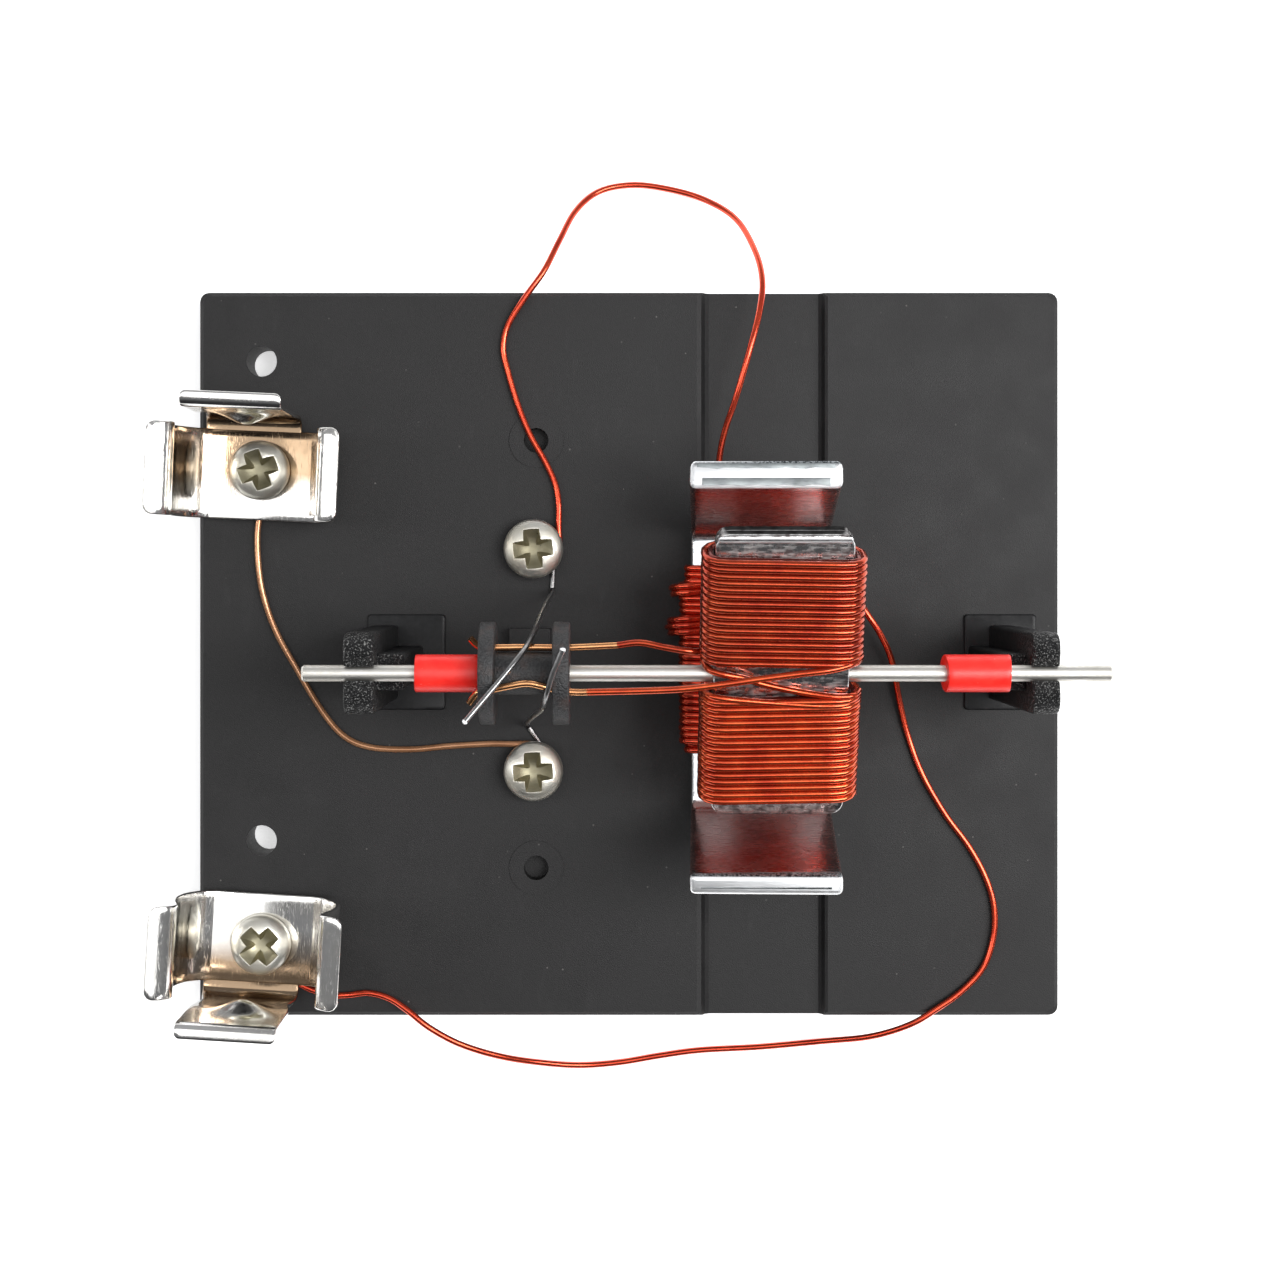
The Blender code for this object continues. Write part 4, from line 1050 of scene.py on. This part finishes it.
def make_screw(name, x, y, seat, turn, node):
    profile = [(-6.0, 0.8), (-5.4, 1.3), (-0.02, 1.3), (0.0, HEAD_RADIUS - 0.12),
               (0.1, HEAD_RADIUS)]
    for tick in range(9):
        angle = tick / 8 * math.radians(84.0)
        profile.append((HEAD_RIM + (HEAD_HEIGHT - HEAD_RIM) * math.sin(angle),
                        HEAD_RADIUS * math.cos(angle)))
    head = bpy.data.objects.new(name, mesh_of(name, shell(turned(profile, (0, 0, 0)))))
    cutter = bpy.data.objects.new("cutter", mesh_of("cutter", cross_cutter(HEAD_HEIGHT)))
    for obj in (head, cutter):
        scene.collection.objects.link(obj)
    cut = head.modifiers.new("cross", "BOOLEAN")
    cut.operation = "DIFFERENCE"
    cut.solver = "EXACT"
    cut.object = cutter
    edge = head.modifiers.new("edge", "BEVEL")
    edge.width = 0.13 * MM
    edge.segments = 2
    edge.limit_method = "ANGLE"
    edge.angle_limit = math.radians(35.0)
    mesh = settled(head)
    for obj in (head, cutter):
        bpy.data.objects.remove(obj)
    recess = [in_recess(polygon.center / MM) for polygon in mesh.polygons]
    for vertex in mesh.vertices:
        spot = vertex.co.copy()
        vertex.co.x = spot.x * math.cos(turn) - spot.y * math.sin(turn) + x * MM
        vertex.co.y = spot.x * math.sin(turn) + spot.y * math.cos(turn) + y * MM
        vertex.co.z = spot.z + seat * MM
    mesh.materials.clear()
    mesh.shade_smooth()
    mesh.set_sharp_from_angle(angle=math.radians(35.0))
    piece(name, mesh, screw_nickel, "base", [node])
    # The recess faces take the darker finish: painted shade.
    mesh.materials.append(recess_nickel_painted_shade.material)
    mesh.polygons.foreach_set("material_index", recess)


for name, turn in (("clip_screw_rear", 0.35), ("clip_screw_front", 0.75), ("brush_screw_rear", 0.1),
                   ("brush_screw_front", 0.05)):
    low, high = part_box(name)
    middle = [(a + b) / 2 / MM for a, b in zip(low, high)]
    make_screw(f"{name}_head", middle[0], middle[1], high[2] / MM - HEAD_HEIGHT, turn, name)
print("four screws turned and cut")

# %% [markdown]
# ## Cell clips
# One blank of spring strip makes each clip: two wings curl up to grip the cell and then flare out
# as lead-in lips, and a tab stands at the end with a pressed dimple that touches the cell.

# %% Cell clips
CLIP_THICKNESS = 0.4
CLIP_SEAT = BASE_TOP + 0.7
WING = ((4.3, 0.2), (5.5, 0.9), (6.5, 2.3), (6.95, 4.3), (6.85, 6.3), (6.4, 8.0), (6.2, 8.9),
        (6.5, 9.7), (7.3, 10.2), (8.1, 10.45))
TAB = ((2.6, 0.19), (3.6, 0.19), (4.3, 0.35), (4.72, 0.95), (4.8, 2.0), (4.8, 4.0), (4.75, 6.0),
       (4.75, 8.0), (4.78, 10.2), (4.8, 12.0), (4.88, 12.48), (5.2, 12.68), (5.95, 12.74))
TAB_SHIFT = -0.75
TAB_HALF = 4.2
WING_SHIFT = -0.45
WING_HALF = 3.95
FLOOR_HALF = 3.5
FLOOR_EXTRA = 1.0
CLIPS = {"rear": (-32.4, 16.2, math.radians(-2.5), 1),
         "front": (-32.3, -25.4, math.radians(-3.5), -1)}


def flat(points, step):
    return [spot.xy for spot in smooth([(a, b, 0.0) for a, b in points], step)]


def make_clip(name, x, y, turn, side):
    def place(across, lengthways, height):
        c, s = math.cos(turn), math.sin(turn)
        return Vector((across * c - lengthways * s + x, across * s + lengthways * c + y,
                       height + CLIP_SEAT))

    wing = flat(WING, 0.3)
    line = [Vector((-p.x, p.y)) for p in reversed(wing)] + wing
    middle = WING_SHIFT * side
    total = length_of(line)
    cornering = round_corners(WING_HALF, 0.8, total)

    def reach_tab(w, n, reach):
        """The floor between the wings runs on, under the bend of the tab."""
        floor = 1 / (1 + math.exp((abs(reach - total / 2) - FLOOR_HALF) / 0.2))
        w, n = cornering(w, n, reach)
        return w + side * FLOOR_EXTRA * floor * max(0.0, w * side / WING_HALF) ** 2, n

    rings = strip_rings(line, WING_HALF, CLIP_THICKNESS, 0.14,
                        lambda w, a, b: place(a, middle + w, b), 12, reach_tab)
    piece(f"clip_wings_{name}", mesh_of("wings", shell(rings)), clip_nickel[name], "base",
          [f"battery_clip_{name}"])

    line = flat(TAB, 0.25)
    rounding = round_corners(TAB_HALF, 0.5, length_of(line))

    def dimple(w, n, reach):
        """A slight neck low on the tab, and the pressed bulge that touches the cell."""
        neck = 1.0 - 0.10 * math.exp(-((reach - 4.6) / 1.6) ** 2)
        bulge = 0.95 * math.exp(-(((w - 0.4) ** 2 + (reach - 8.6) ** 2) / 3.2))
        w, n = rounding(w, n, reach)
        return w * neck, n + bulge

    rings = strip_rings(line, TAB_HALF, CLIP_THICKNESS * 0.94, 0.13,
                        lambda w, a, b: place(w + TAB_SHIFT, a * side, b), 26, dimple)
    tab = piece(f"clip_tab_{name}", mesh_of("tab", shell(rings)), clip_nickel[name], "base")


for name, values in CLIPS.items():
    make_clip(name, *values)
print("clips bent")

# %% [markdown]
# ## Brush wires
# Each brush is one piece of spring wire: an eye clamped under its screw, a short run along the base,
# and a riser that leans on the commutator. The riser is its own piece, because it flexes, and its
# snipped tip is painted near-white, a painted highlight.

# %% Brush wires
RISER_REAR = ((-6.8, 5.35, 6.2), (-7.1, 4.6, 12.0), (-7.4, 3.7, 18.0), (-7.75, 2.6, 23.0),
              (-8.2, 1.6, 25.8), (-8.9, 0.6, 27.3), (-10.2, -1.0, 28.3), (-12.8, -4.1, 29.8))
RISER_FRONT = ((-9.1, -6.1, 6.2), (-8.6, -5.4, 11.0), (-7.8, -4.4, 18.0), (-7.2, -3.7, 23.0),
               (-6.9, -3.1, 26.6), (-6.6, -2.2, 28.5), (-6.1, -0.5, 29.3), (-5.3, 1.4, 29.9))
wire("brush_riser_rear", smooth(RISER_REAR, 0.3), BRUSH_WIRE, brush_steel, "rear_brush",
     ["brush_wire_rear"])
wire("brush_riser_front", smooth(RISER_FRONT, 0.3), BRUSH_WIRE, brush_steel, "front_brush",
     ["brush_wire_front"])
TIP_RADIUS = 0.24
TIP = ((-0.22, TIP_RADIUS * 0.8), (-0.1, TIP_RADIUS), (0.02, TIP_RADIUS), (0.09, TIP_RADIUS * 0.7))
for name, spot in (("rear", RISER_REAR[-1]), ("front", RISER_FRONT[-1])):
    # The tips take the bright zinc, which paints them near-white as a painted highlight.
    rings = turned(TIP, spot, 12)
    tip = piece(f"brush_tip_{name}", mesh_of("tip", shell(rings)), stator_zinc, f"{name}_brush")
for node in ("brush_eye_rear", "brush_eye_front"):
    coat(node, brush_steel)
print("brush wires bent")

# %% [markdown]
# ## Free leads
# The two field leads are the ends of the field coil's own wire, and the brown one joins a clip to a
# brush. They are stiff solid wire, so each keeps the loops it was bent into, resting on the base and on
# the table beyond its edge. The length of each is printed.

# %% Free leads
REAR_FIELD_LEAD = (
    (8.0, 12.4, 5.2), (7.9, 15.0, 6.0), (7.9, 17.3, 7.4), (8.3, 19.6, 9.0), (9.1, 22.1, 10.3),
    (10.3, 26.3, 11.0), (11.2, 29.8, 10.4), (11.5, 32.6, 9.2), (11.0, 35.5, 6.8),
    (9.5, 38.8, 3.4), (6.6, 41.0, 0.9), (2.8, 42.1, 0.32), (-0.1, 42.3, 0.32),
    (-2.8, 41.6, 0.7), (-4.8, 39.6, 2.2), (-6.2, 36.6, 4.4), (-7.5, 33.8, 5.7),
    (-9.2, 31.4, 5.8), (-10.7, 29.0, 5.45), (-11.1, 27.0, 5.4), (-10.7, 25.0, 5.4),
    (-9.8, 22.0, 5.4), (-8.7, 19.3, 5.42), (-7.4, 17.0, 5.4), (-6.5, 15.0, 5.45),
    (-6.2, 13.2, 5.62), (-6.2, 11.2, 5.76), (-6.2, 9.4, 5.78), (-7.1, 7.7, 5.78),
)
FRONT_FIELD_LEAD = (
    (19.3, 6.0, 7.6), (20.7, 3.7, 7.8), (21.9, 1.9, 7.5), (23.0, -0.5, 6.9), (23.8, -4.0, 5.9),
    (24.6, -7.1, 5.4), (25.9, -10.6, 5.4), (27.9, -14.1, 5.4), (29.9, -16.8, 5.4),
    (31.4, -19.5, 5.4), (32.2, -22.1, 5.4), (32.2, -24.8, 5.4), (31.3, -27.6, 5.4),
    (29.4, -29.7, 5.45), (27.1, -31.3, 5.55), (24.8, -32.7, 5.4), (21.5, -34.1, 3.8),
    (17.2, -35.1, 1.3), (11.9, -35.8, 0.34), (6.5, -36.1, 0.32), (2.8, -36.6, 0.32),
    (-0.8, -37.2, 0.32), (-4.4, -37.4, 0.6), (-8.0, -36.9, 1.7), (-11.5, -35.9, 3.6),
    (-14.9, -34.5, 5.1), (-17.6, -32.9, 5.7), (-19.5, -31.4, 5.7), (-21.1, -30.4, 5.45),
    (-23.0, -29.9, 5.4), (-24.9, -30.1, 5.4), (-26.8, -30.0, 5.4), (-29.2, -29.0, 5.4),
    (-30.5, -27.2, 5.4),
)
BATTERY_LEAD = (
    (-31.0, 14.1, 5.4), (-32.2, 13.2, 5.4), (-32.7, 11.6, 5.4), (-32.8, 9.2, 5.4),
    (-32.4, 5.7, 5.4), (-31.2, 2.1, 5.4), (-29.1, -1.7, 5.4), (-27.1, -5.0, 5.4),
    (-25.2, -7.2, 5.4), (-22.9, -8.2, 5.4), (-19.3, -8.4, 5.4), (-15.8, -8.1, 5.4),
    (-12.3, -7.9, 5.5), (-10.2, -7.9, 5.74), (-8.5, -7.9, 5.78), (-6.8, -8.5, 5.78),
)
for node, route, finish in (("field_lead_rear", REAR_FIELD_LEAD, field_enamel),
                            ("field_lead_front", FRONT_FIELD_LEAD, field_enamel),
                            ("battery_lead", BATTERY_LEAD, brown_enamel)):
    points = smooth(route, 0.6)
    lead = wire(f"{node}_wire", points, FIELD_WIRE, finish, "base", [node])
    metres = length_of(points) * MM
    tuple(points[0] * MM)
    print(node, "is", round(metres / MM, 1), "mm long")

# %% [markdown]
# ## Floor and light
# A dim broad light overhead whitens the flat metal, and two narrow bright ones at the sides put a
# hard glint on every rounded shoulder.

# %% Floor and lights
FLOOR_GLOW = 0.55


def make_floor():
    mesh = bpy.data.meshes.new("floor")
    reach = 1.2
    mesh.from_pydata([(-reach, -reach, 0), (reach, -reach, 0), (reach, reach, 0), (-reach, reach, 0)],
                     [], [(0, 1, 2, 3)])
    floor = bpy.data.objects.new("floor", mesh)
    floor.location.z = -0.02 * MM
    scene.collection.objects.link(floor)
    sheet = Finish("white_sheet", 0.9)
    sheet.colour(sheet.ramp(sheet.noise(0.02, 2.0), (0.0, (0.92, 0.92, 0.92)),
                            (1.0, (0.95, 0.95, 0.95))))
    sheet.shader.inputs["Emission Color"].default_value = rgb(1.0, 1.0, 1.0)
    sheet.shader.inputs["Emission Strength"].default_value = FLOOR_GLOW
    mesh.materials.append(sheet.material)


def add_softbox(name, position, width, height, radiance, aim=(0.0, 0.0, 0.01)):
    """A soft rectangle of light, set by how bright it looks rather than by its power."""
    light = bpy.data.lights.new(name, "AREA")
    light.shape = "RECTANGLE"
    light.size = width
    light.size_y = height
    light.energy = radiance * math.pi * width * height
    lamp = bpy.data.objects.new(name, light)
    scene.collection.objects.link(lamp)
    lamp.location = position
    lamp.rotation_euler = (Vector(aim) - Vector(position)).to_track_quat("-Z", "Y").to_euler()


def make_world():
    """A dim room, pale behind and dark in front, so that mirrors have something to show."""
    world = bpy.data.worlds.new("studio")
    world.use_nodes = True
    tree = world.node_tree
    place = tree.nodes.new("ShaderNodeTexCoord")
    split = tree.nodes.new("ShaderNodeSeparateXYZ")
    tree.links.new(place.outputs["Generated"], split.inputs[0])
    ramp = tree.nodes.new("ShaderNodeValToRGB")
    ramp.color_ramp.elements[0].position = 0.0
    ramp.color_ramp.elements[0].color = rgb(0.06, 0.06, 0.065)
    ramp.color_ramp.elements[1].position = 1.0
    ramp.color_ramp.elements[1].color = rgb(0.75, 0.76, 0.78)
    rise = tree.nodes.new("ShaderNodeMapRange")
    rise.inputs["From Min"].default_value = -0.75
    rise.inputs["From Max"].default_value = 0.35
    tree.links.new(split.outputs["Y"], rise.inputs["Value"])
    tree.links.new(rise.outputs[0], ramp.inputs[0])
    background = tree.nodes["Background"]
    tree.links.new(ramp.outputs[0], background.inputs["Color"])
    background.inputs["Strength"].default_value = 0.5
    scene.world = world


make_floor()
add_softbox("softbox_above", (0.02, -0.01, 0.50), 0.30, 0.64, 1.3)
add_softbox("softbox_right", (0.27, 0.03, 0.42), 0.18, 0.40, 10.0)
add_softbox("softbox_left", (-0.36, 0.03, 0.32), 0.10, 0.36, 3.2)
make_world()
scene.view_settings.view_transform = "Standard"
print("lit")
